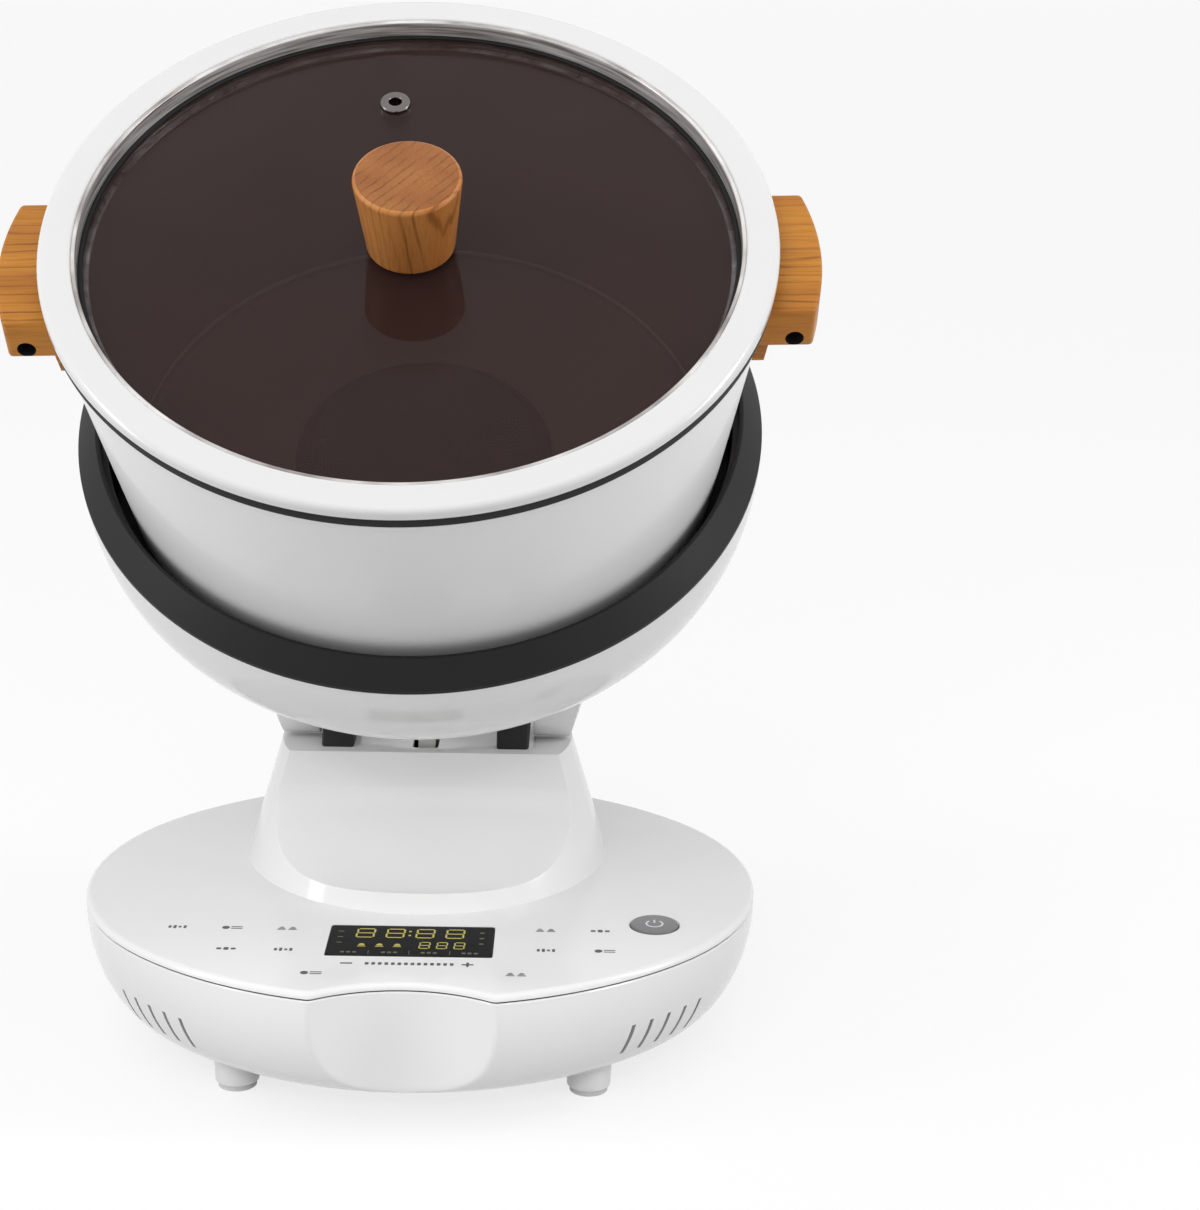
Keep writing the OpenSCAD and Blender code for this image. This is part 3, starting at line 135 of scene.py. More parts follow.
def spread(first, last, count):
    """Evenly spaced values, both ends included."""
    return [first + (last - first) * k / count for k in range(count + 1)]


# Columns of the shell behind its front: azimuth and sideways offset, with a pair along each slot
slot_columns = [(angle, side * slot_half) for angle in slot_angles for side in (-1, 1)]
plain_columns = [(math.radians(a), 0.0) for a in (34, 37, 40, 42.5)]
plain_columns += [(math.radians(a), 0.0) for a in range(64, 172, 4)]
inlet_columns = [(math.radians(180), -inlet_half_w), (math.radians(180), -inlet_half_w * 0.5)]
shell_columns = sorted(plain_columns + slot_columns, key=lambda c: c[0] + c[1] / half_d) + inlet_columns

# Columns across the front: evenly over the hollow, close together round its edge, then out to the side
front_count = 12, 12, 8
front_azimuth = math.radians(31.5)
edge_lead, edge_span, hollow_least = 5 * mm, 9 * mm, 3 * mm


def base_outline(z, inset, hollow_inset):
    """Closed outline of the base at a height, from the middle of the front round by the right."""
    near = max(hollow_edge(z, inset, hollow_inset) - edge_lead, hollow_least)
    far = near + edge_span
    across = spread(0, near, front_count[0])
    across += spread(near, far, front_count[1])[1:]
    across += spread(far, oval_point(inset, front_azimuth).x, front_count[2])[1:]
    right = [Vector((x, front_y(x, z, inset, hollow_inset))) for x in across]
    right += [oval_point(inset, azimuth, offset) for azimuth, offset in shell_columns]
    back = oval_point(inset, math.pi)
    left = [Vector((-p.x, p.y)) for p in reversed(right[1:])]
    return [Vector((p.x, p.y + base_y, z)) for p in right + [back] + left]


def place_object(name, data):
    """Makes an object of a mesh, a lamp or a camera and puts it in the scene."""
    made = bpy.data.objects.new(name, data)
    bpy.context.scene.collection.objects.link(made)
    return made


def smooth(mesh, sharp):
    """Smooth shading, with the edges past an angle left sharp."""
    mesh.shade_smooth()
    mesh.set_sharp_from_angle(angle=math.radians(sharp))


def new_piece(name, bm, sharp=35):
    """Turns a bmesh into an object."""
    bmesh.ops.recalc_face_normals(bm, faces=bm.faces)
    mesh = bpy.data.meshes.new(name)
    bm.to_mesh(mesh)
    bm.free()
    smooth(mesh, sharp)
    return place_object(name, mesh)


def add_rings(bm, rings):
    return [[bm.verts.new(p) for p in ring] for ring in rings]


def join_rings(bm, rings, skip=()):
    """Quads between neighbouring rings of points, apart from the cells to skip."""
    count = len(rings[0])
    for i in range(len(rings) - 1):
        for j in range(count):
            k = (j + 1) % count
            if (i, j) not in skip:
                bm.faces.new((rings[i][j], rings[i][k], rings[i + 1][k], rings[i + 1][j]))


def fill_flat(bm, loops):
    """Fills a flat outline that has holes in it."""
    edges = []
    for loop in loops:
        for a, b in zip(loop, loop[1:] + loop[:1]):
            edges.append(bm.edges.get((a, b)) or bm.edges.new((a, b)))
    bmesh.ops.triangle_fill(bm, edges=edges, use_beauty=True, use_dissolve=False)


def flat_loop(bm, outline, z):
    return [bm.verts.new((x, y, z)) for x, y in outline]


def box_outline(x0, x1, y0, y1, radius, steps=5):
    """Rectangle with rounded corners, anticlockwise."""
    corners = ((x1 - radius, y1 - radius, 0), (x0 + radius, y1 - radius, 90),
               (x0 + radius, y0 + radius, 180), (x1 - radius, y0 + radius, 270))
    points = []
    for x, y, start in corners:
        for angle in spread(start, start + 90, steps):
            turn = math.radians(angle)
            points.append((x + radius * math.cos(turn), y + radius * math.sin(turn)))
    return points


def slab_outline(x, y, width, depth, radius, steps=5):
    """Rectangle with rounded corners about its middle."""
    return box_outline(x - width / 2, x + width / 2, y - depth / 2, y + depth / 2, radius, steps)


def shell_inset_at(z):
    drop = min((seam_z - z) / shell_depth, 1)
    return shell_inset * (1 - math.sqrt(1 - drop * drop))


marked = [slot_low, slot_high, inlet_low, inlet_high]
level_gap = 1.2 * mm
shell_levels = [seam_z - shell_depth * math.sin(math.radians(a)) for a in range(0, 91, 5)]
shell_levels = [z for z in shell_levels if min(abs(z - m) for m in marked) > level_gap]
shell_levels = sorted(shell_levels + marked, reverse=True)
outer = [base_outline(seam_z, seam_edge, seam_edge)]
outer += [base_outline(z, shell_inset_at(z), 0) for z in [seam_z - seam_edge] + shell_levels[1:]]
shrink = (shell_depth - shell_wall) / shell_depth
inner = []
for ring in outer:
    z = ring[0].z
    inner.append(base_outline(seam_z - (seam_z - z) * shrink, shell_inset_at(z) + shell_wall, shell_wall))

front_columns = sum(front_count)
column_count = len(outer[0])
slot_cells, inlet_cells = set(), set()
ring_z = [ring[0].z for ring in outer]
first_slot = front_columns + 1 + next(i for i, c in enumerate(shell_columns) if c == slot_columns[0])
for i, (top, bottom) in enumerate(zip(ring_z, ring_z[1:])):
    middle = (top + bottom) / 2
    if slot_low < middle < slot_high:
        for k in range(len(slot_angles)):
            slot_cells.add((i, first_slot + 2 * k))
            slot_cells.add((i, column_count - first_slot - 2 * k - 1))
    if inlet_low < middle < inlet_high:
        back = column_count // 2
        inlet_cells.update((i, j) for j in range(back - 2, back + 2))
open_cells = slot_cells | inlet_cells

bm = bmesh.new()
outer = add_rings(bm, outer)
inner = add_rings(bm, inner)
join_rings(bm, outer, open_cells)
join_rings(bm, inner, open_cells)
join_rings(bm, [outer[0], inner[0]])
for i, j in open_cells:
    k = (j + 1) % column_count
    sides = (((i - 1, j), (i, j), (i, k)), ((i + 1, j), (i + 1, k), (i + 1, j)),
             ((i, j - 1), (i + 1, j), (i, j)), ((i, k), (i, k), (i + 1, k)))
    for beyond, (a, b), (c, d) in sides:
        if (beyond[0], beyond[1] % column_count) not in open_cells:
            wall = bm.faces.new((outer[a][b], outer[c][d], inner[c][d], inner[a][b]))
            # Slot walls take the second finish, a grey that is painted shade inside the slots; the inlet's
            # walls stay white
            wall.material_index = 1 if (i, j) in slot_cells else 0

fan_low, fan_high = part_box("fan_frame")
fan_x, fan_y = (fan_low.x + fan_high.x) / 2, (fan_low.y + fan_high.y) / 2
intake_w, intake_d, intake_step, intake_round = 34 * mm, 4 * mm, 8 * mm, 1.9 * mm
intakes = []
for k in range(-2, 3):
    intakes.append(slab_outline(fan_x, fan_y + k * intake_step, intake_w, intake_d, intake_round))
below = [flat_loop(bm, outline, shell_floor) for outline in intakes]
above = [flat_loop(bm, outline, shell_floor + shell_wall) for outline in intakes]
for low, high in zip(below, above):
    join_rings(bm, [low, high])
fill_flat(bm, [outer[-1]] + below)
fill_flat(bm, [inner[-1]] + above)
inlet_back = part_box("mains_inlet")[0].y
sleeve_wall, sleeve_round, sleeve_set_back = 1.6 * mm, 0.6 * mm, 9 * mm
sleeve_end = base_y + half_d - sleeve_set_back
tube = []
for grow, ends in ((0, (inlet_back, sleeve_end)), (sleeve_wall, (sleeve_end, inlet_back))):
    side = inlet_half_w + grow
    outline = box_outline(-side, side, inlet_low - grow, inlet_high + grow, sleeve_round)
    tube += [[bm.verts.new((x, y, z)) for x, z in outline] for y in ends]
join_rings(bm, tube + tube[:1])
lower_shell = new_piece("lower_shell", bm, 40)


class Wire:
    """A shader socket that takes part in sums: each operator adds one Math node."""

    def __init__(self, finish, socket):
        self.finish = finish
        self.socket = socket

    def sum(self, operation, first, second):
        return self.finish.node("ShaderNodeMath", {"operation": operation}, {0: first, 1: second})

    def __add__(self, other):
        return self.sum("ADD", self, other)

    def __radd__(self, other):
        return self.sum("ADD", other, self)

    def __mul__(self, other):
        return self.sum("MULTIPLY", self, other)

    def __rmul__(self, other):
        return self.sum("MULTIPLY", other, self)


class Finish:
    """A material, or the world, being made: adds nodes and feeds its shader."""

    def __init__(self, name, store=bpy.data.materials, shader="Principled BSDF"):
        self.made = store.new(name)
        self.made.use_nodes = True
        self.tree = self.made.node_tree
        self.shader = self.tree.nodes[shader]

    def feed(self, socket, value):
        if isinstance(value, Wire):
            self.tree.links.new(value.socket, socket)
        else:
            socket.default_value = value

    def node(self, kind, settings=None, sockets=None, output=0):
        """Adds a node with its settings and what its sockets take, and gives one of its outputs."""
        made = self.tree.nodes.new(kind)
        for key, value in (settings or {}).items():
            setattr(made, key, value)
        for key, value in (sockets or {}).items():
            self.feed(made.inputs[key], value)
        return Wire(self, made.outputs[output])

    def place(self, stretch=(1, 1, 1), turn=(0, 0, 0)):
        """Position on the object in metres, for a pattern that is stretched along turned axes."""
        where = self.node("ShaderNodeTexCoord", output="Object")
        return self.node("ShaderNodeMapping", {"vector_type": "TEXTURE"},
                         {"Vector": where, "Rotation": turn, "Scale": stretch})

    def noise(self, size, detail=3, where=None):
        """Cloudy pattern from 0 to 1, with spots of about a size in metres."""
        sockets = {"Vector": where or self.place(), "Scale": 1 / size, "Detail": detail}
        return self.node("ShaderNodeTexNoise", {}, sockets)

    def between(self, amount, first, second):
        """Colour between two colours."""
        return self.node("ShaderNodeMix", {"data_type": "RGBA"}, {0: amount, 6: first, 7: second}, output=2)

    def ramp(self, amount, low, high):
        """Stretches the part of a pattern between two values to 0..1."""
        return self.node("ShaderNodeMapRange", {}, {"Value": amount, "From Min": low, "From Max": high})

    def bump(self, height, strength, distance):
        return self.node("ShaderNodeBump", {}, {"Height": height, "Strength": strength, "Distance": distance})

    def coat(self, **sockets):
        """Feeds the shader's sockets, with spaces in their names as underscores."""
        for name, value in sockets.items():
            self.feed(self.shader.inputs[name.replace("_", " ")], value)
        return self.made


def colour(red, green, blue):
    """Linear colour from the eight-bit values that a screen shows."""
    parts = [c / 255 for c in (red, green, blue)]
    return [c / 12.92 if c <= 0.04045 else ((c + 0.055) / 1.055) ** 2.4 for c in parts] + [1]


def gloss_moulding(name, light, dark, rough):
    """Injection-moulded gloss plastic: faint cloudiness, a trace of orange peel, soft handling marks."""
    finish = Finish(name)
    cloud = finish.noise(60 * mm, 2)
    peel = finish.noise(1.6 * mm, 1)
    marks = finish.noise(35 * mm, 4)
    return finish.coat(
        Base_Color=finish.between(cloud, dark, light),
        Roughness=marks * 0.06 + rough,
        IOR=1.48,
        Normal=finish.bump(peel, 0.02, 0.05 * mm))


white_gloss = gloss_moulding("white_gloss", colour(229, 229, 229), colour(225, 225, 225), 0.1)


def dress(piece, material, body, slot, *nodes):
    """Gives a piece its finish and its body, and hides the solids that it stands for; its record slot is not
    used.
    """
    piece.data.materials.append(material)
    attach(piece, body)
    if nodes:
        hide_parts(*nodes)


# A grey copy of the gloss moulding for the slot walls: painted shade inside the slots
slot_painted_shade = gloss_moulding("slot_painted_shade", colour(176, 176, 177), colour(162, 162, 163), 0.5)
dress(lower_shell, white_gloss, "base", "white_gloss", "base_shell")
lower_shell.data.materials.append(slot_painted_shade)


def refinish(material, *nodes):
    """Gives CAD solids that show as they are a finish."""
    for node in nodes:
        solid = frame["nodes"][node]
        solid.data.materials.clear()
        solid.data.materials.append(material)


# Feet
# Four white stub feet moulded separately and held by the base screws, each with a soft pale pad set into it.
foot_top_r, foot_low_r, foot_edge, foot_bore = 10.5 * mm, 9.7 * mm, 0.8 * mm, 4 * mm
pad_r = 8.5 * mm
foot_x = (pads_high.x - pads_low.x) / 2 - pad_r
foot_y = (pads_high.y - pads_low.y) / 2 - pad_r


def rounded(corners, steps=6):
    """Closed outline through corners of x, y and a radius, each corner rounded by an arc."""
    points = []
    for i, (x, y, radius) in enumerate(corners):
        here = Vector((x, y))
        if radius <= 0:
            points.append(here)
            continue
        before = (Vector(corners[i - 1][:2]) - here).normalized()
        after = (Vector(corners[(i + 1) % len(corners)][:2]) - here).normalized()
        half = before.angle(after) / 2
        middle = here + (before + after).normalized() * (radius / math.sin(half))
        reach = radius / math.tan(half)
        start = here + before * reach - middle
        finish = here + after * reach - middle
        turn = math.atan2(start.x * finish.y - start.y * finish.x, start.dot(finish))
        points += [middle + Matrix.Rotation(angle, 2) @ start for angle in spread(0, turn, steps)]
    return points


def turned(bm, profile, place, count):
    """Turns a closed profile of radii and heights about an axis."""
    rings = []
    for k in range(count):
        turn = 2 * math.pi * k / count
        rings.append([place @ Vector((r * math.cos(turn), r * math.sin(turn), z)) for r, z in profile])
    rings = add_rings(bm, rings)
    join_rings(bm, rings + rings[:1])
    bmesh.ops.remove_doubles(bm, verts=bm.verts, dist=0.002 * mm)


foot_profile = rounded([(foot_bore, pads_high.z, 0), (foot_low_r, pads_high.z, foot_edge),
                        (foot_top_r, shell_floor, 0.2 * mm), (foot_bore, shell_floor, 0)])
bm = bmesh.new()
for side in (-1, 1):
    for end in (-1, 1):
        turned(bm, foot_profile, Matrix.Translation((side * foot_x, base_y + end * foot_y, 0)), 48)
dress(new_piece("stub_feet", bm), white_gloss, "base", "white_gloss", "feet")


def satin_skin(name, grey, rough, grain):
    """Rubber or satin plastic with a fine moulded grain."""
    finish = Finish(name)
    cloud = finish.noise(25 * mm, 3)
    fine = finish.noise(grain, 2)
    return finish.coat(
        Base_Color=finish.between(cloud, colour(grey, grey, grey), colour(grey + 9, grey + 8, grey + 8)),
        Roughness=fine * 0.14 + rough,
        IOR=1.33,
        Normal=finish.bump(fine, 0.25, 0.08 * mm))


refinish(satin_skin("pale_rubber", 200, 0.5, 0.5 * mm), "foot_pads")

# Deck
# The white control plate that closes the base. It has a rounded edge over a shadow line, follows the hollow
# at the front, and is cut for the display window and the power button.
window_low, window_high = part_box("display_window")
window_gap, window_round = 0.2 * mm, 1 * mm
deck_top = window_high.z
deck_round = 2.5 * mm
joint_line, joint_edge = 0.8 * mm, 0.15 * mm
button_low, button_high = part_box("power_button")
button_x, button_y = (button_low.x + button_high.x) / 2, (button_low.y + button_high.y) / 2
button_bore, mouth_edge = 10.9 * mm, 0.5 * mm
column_low, column_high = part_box("pedestal")
cone_r = 85 * mm
pedestal_y = column_high.y - cone_r
deck_hole = 66 * mm

joint_top = seam_z + joint_line
edge_levels = [(seam_z, joint_line), (joint_top, joint_line), (joint_top, joint_edge)]
edge_levels += [(joint_top + joint_edge, 0)]
for angle in spread(0, 90, 10):
    turn = math.radians(angle)
    edge_levels.append((deck_top - deck_round * (1 - math.sin(turn)), deck_round * (1 - math.cos(turn))))


def circle_outline(x, y, radius, count=72):
    turns = [2 * math.pi * k / count for k in range(count)]
    return [(x + radius * math.cos(a), y + radius * math.sin(a)) for a in turns]


def window_outline(grow, radius):
    """The window's outline, grown all round, or drawn in with a minus."""
    return box_outline(window_low.x - grow, window_high.x + grow,
                       window_low.y - grow, window_high.y + grow, radius)


bm = bmesh.new()
deck_rings = add_rings(bm, [base_outline(z, inset, inset) for z, inset in edge_levels])
join_rings(bm, deck_rings)
window_hole = window_outline(window_gap, window_round + window_gap)
button_hole = circle_outline(button_x, button_y, button_bore)
button_mouth = circle_outline(button_x, button_y, button_bore + mouth_edge)
column_hole = circle_outline(0, pedestal_y, deck_hole)
openings = (((window_hole, deck_top), (window_hole, seam_z)),
            ((button_mouth, deck_top), (button_hole, deck_top - mouth_edge), (button_hole, seam_z)),
            ((column_hole, deck_top), (column_hole, seam_z)))
walls = [[flat_loop(bm, outline, z) for outline, z in opening] for opening in openings]
for wall in walls:
    join_rings(bm, wall)
fill_flat(bm, [deck_rings[-1]] + [wall[0] for wall in walls])
fill_flat(bm, [deck_rings[0]] + [wall[-1] for wall in walls])
deck_panel = new_piece("deck_panel", bm, 40)
dress(deck_panel, white_gloss, "base", "white_gloss", "deck")
deck_panel.data.materials.append(satin_skin("joint_shadow", 45, 0.6, 0.5 * mm))
for face in deck_panel.data.polygons:
    if abs(face.normal.z) < 0.5 and seam_z < face.center.z < joint_top:
        face.material_index = 1

# Printed marks on the deck
# A dash, a row of dots and a plus for the level slider, and a small plain mark for each touch key. All are
# thin dark grey screen print, modelled as films that lie on the deck.
film = 0.06 * mm


def close_ends(bm, rings):
    """Walls between rings of points, and a flat face over each end."""
    join_rings(bm, rings)
    bm.faces.new(rings[-1])
    bm.faces.new(list(reversed(rings[0])))


def film_shape(bm, outline, z):
    """A thin flat shape that lies on a surface."""
    close_ends(bm, [flat_loop(bm, outline, z), flat_loop(bm, outline, z + film)])


def bar_outline(x, y, width, depth):
    return slab_outline(x, y, width, depth, min(width, depth) * 0.3, 3)


slider_y = base_y - 98.5 * mm
slider_end = 25.7 * mm
dot_count = 14
bm = bmesh.new()
film_shape(bm, bar_outline(-slider_end, slider_y, 5.2 * mm, 1.3 * mm), deck_top)
film_shape(bm, bar_outline(slider_end, slider_y, 5.2 * mm, 1.2 * mm), deck_top)
film_shape(bm, bar_outline(slider_end, slider_y, 1.1 * mm, 4.6 * mm), deck_top + hair)
for x in spread(-17 * mm, 19 * mm, dot_count - 1):
    film_shape(bm, bar_outline(x, slider_y, 1.6 * mm, 2.6 * mm), deck_top)


def bars_mark(bm, x, y):
    for k, depth in enumerate((2.6, 3.4, 1.8, 3.0)):
        film_shape(bm, bar_outline(x + (k - 1.5) * 2.2 * mm, y, 1.3 * mm, depth * mm), deck_top)


def ring_mark(bm, x, y):
    film_shape(bm, circle_outline(x - 2.8 * mm, y, 1.7 * mm, 24), deck_top)
    for end in (-1, 1):
        film_shape(bm, bar_outline(x + 2 * mm, y + end * 0.9 * mm, 5 * mm, 0.8 * mm), deck_top)


def steps_mark(bm, x, y):
    for side in (-1, 1):
        for k in range(3):
            step = bar_outline(x + side * 2.4 * mm, y + (k - 1) * 1.2 * mm, (3.8 - k) * mm, 0.7 * mm)
            film_shape(bm, step, deck_top)


def pair_mark(bm, x, y):
    for side in (-1, 0, 1):
        film_shape(bm, bar_outline(x + side * 3.1 * mm, y, 2.2 * mm, 2.9 * mm - abs(side) * mm), deck_top)


# Places of the keys in millimetres, from the middle of the base
key_places = ((-103, -62), (-79, -62), (-55, -62), (-78.5, -85), (-54, -85), (-39.5, -109),
              (58, -60), (82, -60), (58.6, -82), (84, -82), (46.5, -108))
key_marks = (bars_mark, ring_mark, steps_mark, pair_mark)
for k, (x, y) in enumerate(key_places):
    key_marks[k % len(key_marks)](bm, x * mm, base_y + y * mm)
deck_print = new_piece("deck_print", bm)


def screen_print(name, light, dark):
    """Thin printed ink, slightly uneven where it lies."""
    finish = Finish(name)
    blotch = finish.noise(1.2 * mm, 3)
    return finish.coat(Base_Color=finish.between(blotch, dark, light), Roughness=blotch * 0.2 + 0.45)


grey_print = screen_print("grey_print", colour(88, 88, 90), colour(66, 66, 68))
dress(deck_print, grey_print, "base", "black_satin")

# Display window
# A black acrylic window let into the deck, flush with it, over the display board.
window_edge = 0.4 * mm
window_sizes = ((0, window_low.z), (0, window_high.z - window_edge), (window_edge, window_high.z))
bm = bmesh.new()
close_ends(bm, [flat_loop(bm, window_outline(-inset, window_round), z) for inset, z in window_sizes])
window = new_piece("display_window_slab", bm)


def black_acrylic():
    """Polished black acrylic with faint wipe marks."""
    finish = Finish("black_acrylic")
    wipe = finish.noise(1 * mm, 4, finish.place((6, 1, 6)))
    return finish.coat(
        Base_Color=finish.between(wipe, colour(12, 12, 13), colour(20, 20, 21)),
        Roughness=wipe * 0.14 + 0.1,
        IOR=1.12)


dress(window, black_acrylic(), "base", "display_black", "display_window")

# Display figures
# Lit segments under the window: a four-figure clock, three level marks and a three-figure count, with a row
# of dim marks and dividers below. They are drawn as films on the window's face.
figure_lean = 0.06


def segments(x, y, width, height, stroke):
    """Outlines of the seven bars of a figure."""
    flat, tall = width - stroke, height / 2 - stroke
    bars = [(0, level * height / 2, flat, stroke) for level in (1, 0, -1)]
    bars += [(side * width / 2, end * height / 4, stroke, tall) for side in (-1, 1) for end in (-1, 1)]
    return [bar_outline(x + a + figure_lean * (b + height / 2), y + b, w, d) for a, b, w, d in bars]


window_x = (window_low.x + window_high.x) / 2
window_y = (window_low.y + window_high.y) / 2
clock_y = window_y + 8.2 * mm
count_y = window_y - 4.6 * mm
lit_z = window_high.z
bm = bmesh.new()
for x in (-20.5, -7.5, 5.5, 18.5):
    for bar in segments(window_x + x * mm, clock_y, 7.4 * mm, 9.2 * mm, 0.8 * mm):
        film_shape(bm, bar, lit_z)
for end in (-1, 1):
    film_shape(bm, bar_outline(window_x - mm, clock_y + end * 2.2 * mm, 1.1 * mm, 1.4 * mm), lit_z)
for x in (6, 13.5, 21):
    for bar in segments(window_x + x * mm, count_y, 4.2 * mm, 6.6 * mm, 0.6 * mm):
        film_shape(bm, bar, lit_z)
dome_half, dome_rise, dome_y = 1.4 * mm, 2.2 * mm, count_y - 0.8 * mm
dome_arc = spread(0, math.pi, 12)
for x in (-21, -13.3, -5.6):
    dome_x = window_x + x * mm
    dome = [(dome_x + dome_half * math.cos(a), dome_y + dome_rise * math.sin(a)) for a in dome_arc]
    film_shape(bm, dome, lit_z)
    film_shape(bm, bar_outline(dome_x, count_y - 1.7 * mm, 3.6 * mm, 0.6 * mm), lit_z)
lit_figures = new_piece("display_figures", bm)


def lit_segment(name, tint, strength):
    """Glowing display segment, a little brighter in its middle."""
    finish = Finish(name)
    glow = finish.noise(2.2 * mm, 1)
    dim = [c * 0.75 for c in tint[:3]] + [1]
    return finish.coat(
        Base_Color=finish.between(glow, dim, tint),
        Roughness=0.4,
        Emission_Color=finish.between(glow, dim, tint),
        Emission_Strength=strength)


dress(lit_figures, lit_segment("lit_segment", colour(170, 160, 66), 0.3), "base", "display_black")

legend_y = window_y - 12.6 * mm
bm = bmesh.new()
for x in (-26, -8.5, 8.5, 26):
    for side in (-1, 0, 1):
        film_shape(bm, bar_outline(window_x + x * mm + side * 2.6 * mm, legend_y, 1.8 * mm, 1.6 * mm), lit_z)
for x in (-17.5, 0, 17.5):
    film_shape(bm, bar_outline(window_x + x * mm, legend_y, 0.35 * mm, 4 * mm), lit_z)
for k in range(3):
    row_y = clock_y + 1.5 * mm - k * 6 * mm
    film_shape(bm, bar_outline(window_x + 30.5 * mm, row_y, 2 * mm, 1.3 * mm), lit_z)
    film_shape(bm, bar_outline(window_x - 31 * mm, row_y, 2.4 * mm, 0.8 * mm), lit_z)
dim_print = screen_print("dim_legend", colour(96, 94, 76), colour(70, 69, 58))
dress(new_piece("display_legend", bm), dim_print, "base", "display_black")

# Power button
# A round mid grey push button in a bore of the deck, moulded with a rounded edge. The usual power sign is
# printed on its top.
button_r, button_stem_r = 10.6 * mm, 3 * mm
button_top = button_high.z
button_rim_r = (button_high.x - button_low.x) / 2
button_rim_low, button_rim_top = 67.8 * mm, 69.2 * mm


def turned_piece(name, profile, place, count, sharp=35):
    """A piece turned from one closed profile."""
    bm = bmesh.new()
    turned(bm, profile, place, count)
    return new_piece(name, bm, sharp)


cap_profile = rounded([(0, button_low.z, 0), (button_stem_r, button_low.z, 0.3 * mm),
                       (button_stem_r, button_rim_low, 0), (button_rim_r, button_rim_low, 0.2 * mm),
                       (button_rim_r, button_rim_top, 0.2 * mm), (button_r, button_rim_top, 0),
                       (button_r, button_top, 0.7 * mm), (0, button_top, 0)])
button_cap = turned_piece("power_button_cap", cap_profile, Matrix.Translation((button_x, button_y, 0)), 72)
grey_gloss = gloss_moulding("grey_button", colour(112, 112, 114), colour(98, 98, 100), 0.25)
dress(button_cap, grey_gloss, "button", "grey_button", "power_button")

sign_r, sign_w, sign_gap = 3.6 * mm, 0.8 * mm, math.radians(38)
sign_bar_y, sign_bar_l = button_y + 2.6 * mm, 3.4 * mm
sign_z = button_top - 0.02 * mm
sign_arc = spread(sign_gap, 2 * math.pi - sign_gap, 36)
sign_outline = []
for radius, arc in ((sign_r + sign_w / 2, sign_arc), (sign_r - sign_w / 2, sign_arc[::-1])):
    sign_outline += [(button_x + radius * math.sin(a), button_y + radius * math.cos(a)) for a in arc]
bm = bmesh.new()
film_shape(bm, sign_outline, sign_z)
film_shape(bm, bar_outline(button_x, sign_bar_y, sign_w, sign_bar_l), sign_z)
pale_print = screen_print("pale_print", colour(222, 222, 224), colour(205, 205, 208))
dress(new_piece("power_sign", bm), pale_print, "button", "grey_button")

# Pedestal
# A white hollow cone that stands on the deck and carries the hinge. Its front is scooped out by a long round,
# which leaves a lip at the foot; a slot in its flat top lets the tilt gear through.
cone_top_r = 68 * mm
cone_low, cone_top = column_low.z, column_high.z
cone_wall = 3 * mm
scoop_r = 46 * mm
scoop_y = base_y - 33 * mm
scoop_z = deck_top + 54 * mm
hinge = next(joint for joint in frame["joints"] if joint["name"] == "bowl_tilt")
pivot = Vector(hinge["pos_m"])
gear_slot_x, gear_slot_y = 6 * mm, 20 * mm
cone_slope = (cone_r - cone_top_r) / (cone_top - cone_low)


def cone_point(azimuth, z):
    radius = cone_r - cone_slope * (z - cone_low)
    return Vector((radius * math.sin(azimuth), pedestal_y - radius * math.cos(azimuth), z))


def cone_reach(azimuth):
    """Height at which the front of the cone runs into the scoop."""
    def before_scoop(z):
        p = cone_point(azimuth, z)
        return (p.y - scoop_y) ** 2 + (p.z - scoop_z) ** 2 >= scoop_r ** 2

    return edge_between(cone_low, scoop_z, before_scoop)


lip_end = math.acos((pedestal_y - scoop_y - scoop_r) / cone_top_r)
lip_top = cone_reach(lip_end)
lip_angles = [lip_end * math.sin(math.radians(a)) for a in range(3, 91, 3)]
half_angles = lip_angles + spread(lip_end, math.pi, 40)[1:]
lip_count = len(lip_angles)
cone_rows, brow_rows, scoop_steps = 14, 4, 16

bm = bmesh.new()
columns = []
for azimuth in half_angles + [2 * math.pi - a for a in reversed(half_angles[:-1])]:
    from_front = min(azimuth, 2 * math.pi - azimuth)
    heights = spread(cone_low, cone_reach(from_front) if from_front < lip_end else lip_top, cone_rows)
    if from_front > lip_end - 1e-6:
        heights += spread(lip_top, cone_top, brow_rows)[1:]
    columns.append([bm.verts.new(cone_point(azimuth, z)) for z in heights])
for here, there in zip(columns, columns[1:]):
    for a, b, c, d in zip(here, there, there[1:], here[1:]):
        bm.faces.new((a, b, c, d))

# Rows straight across the scoop, from one edge of it to the other
lip_left = len(columns) - lip_count
ends = [(columns[k][-1], columns[-1 - k][-1]) for k in range(lip_count - 1)]
ends += list(zip(columns[lip_count - 1][cone_rows:], columns[lip_left][cone_rows:]))
rows = []
for right, left in ends:
    between = [bm.verts.new(right.co.lerp(left.co, j / scoop_steps)) for j in range(1, scoop_steps)]
    rows.append([right] + between + [left])
for lower, upper in zip(rows, rows[1:]):
    for a, b, c, d in zip(lower, lower[1:], upper[1:], upper):
        bm.faces.new((a, b, c, d))
first, last = columns[0], columns[-1]
for a, b, c, d in zip(last[:-2], first[:-2], first[1:-1], last[1:-1]):
    bm.faces.new((a, b, c, d))
bm.faces.new([last[-2], first[-2]] + rows[0])
top_loop = [column[-1] for column in columns[lip_count - 1:lip_left + 1]] + list(reversed(rows[-1][1:-1]))
slot_box = box_outline(-gear_slot_x, gear_slot_x, pivot.y - gear_slot_y, pivot.y + gear_slot_y, 2 * mm)
fill_flat(bm, [top_loop, flat_loop(bm, slot_box, cone_top)])
pedestal_shell = new_piece("pedestal_shell", bm, 30)


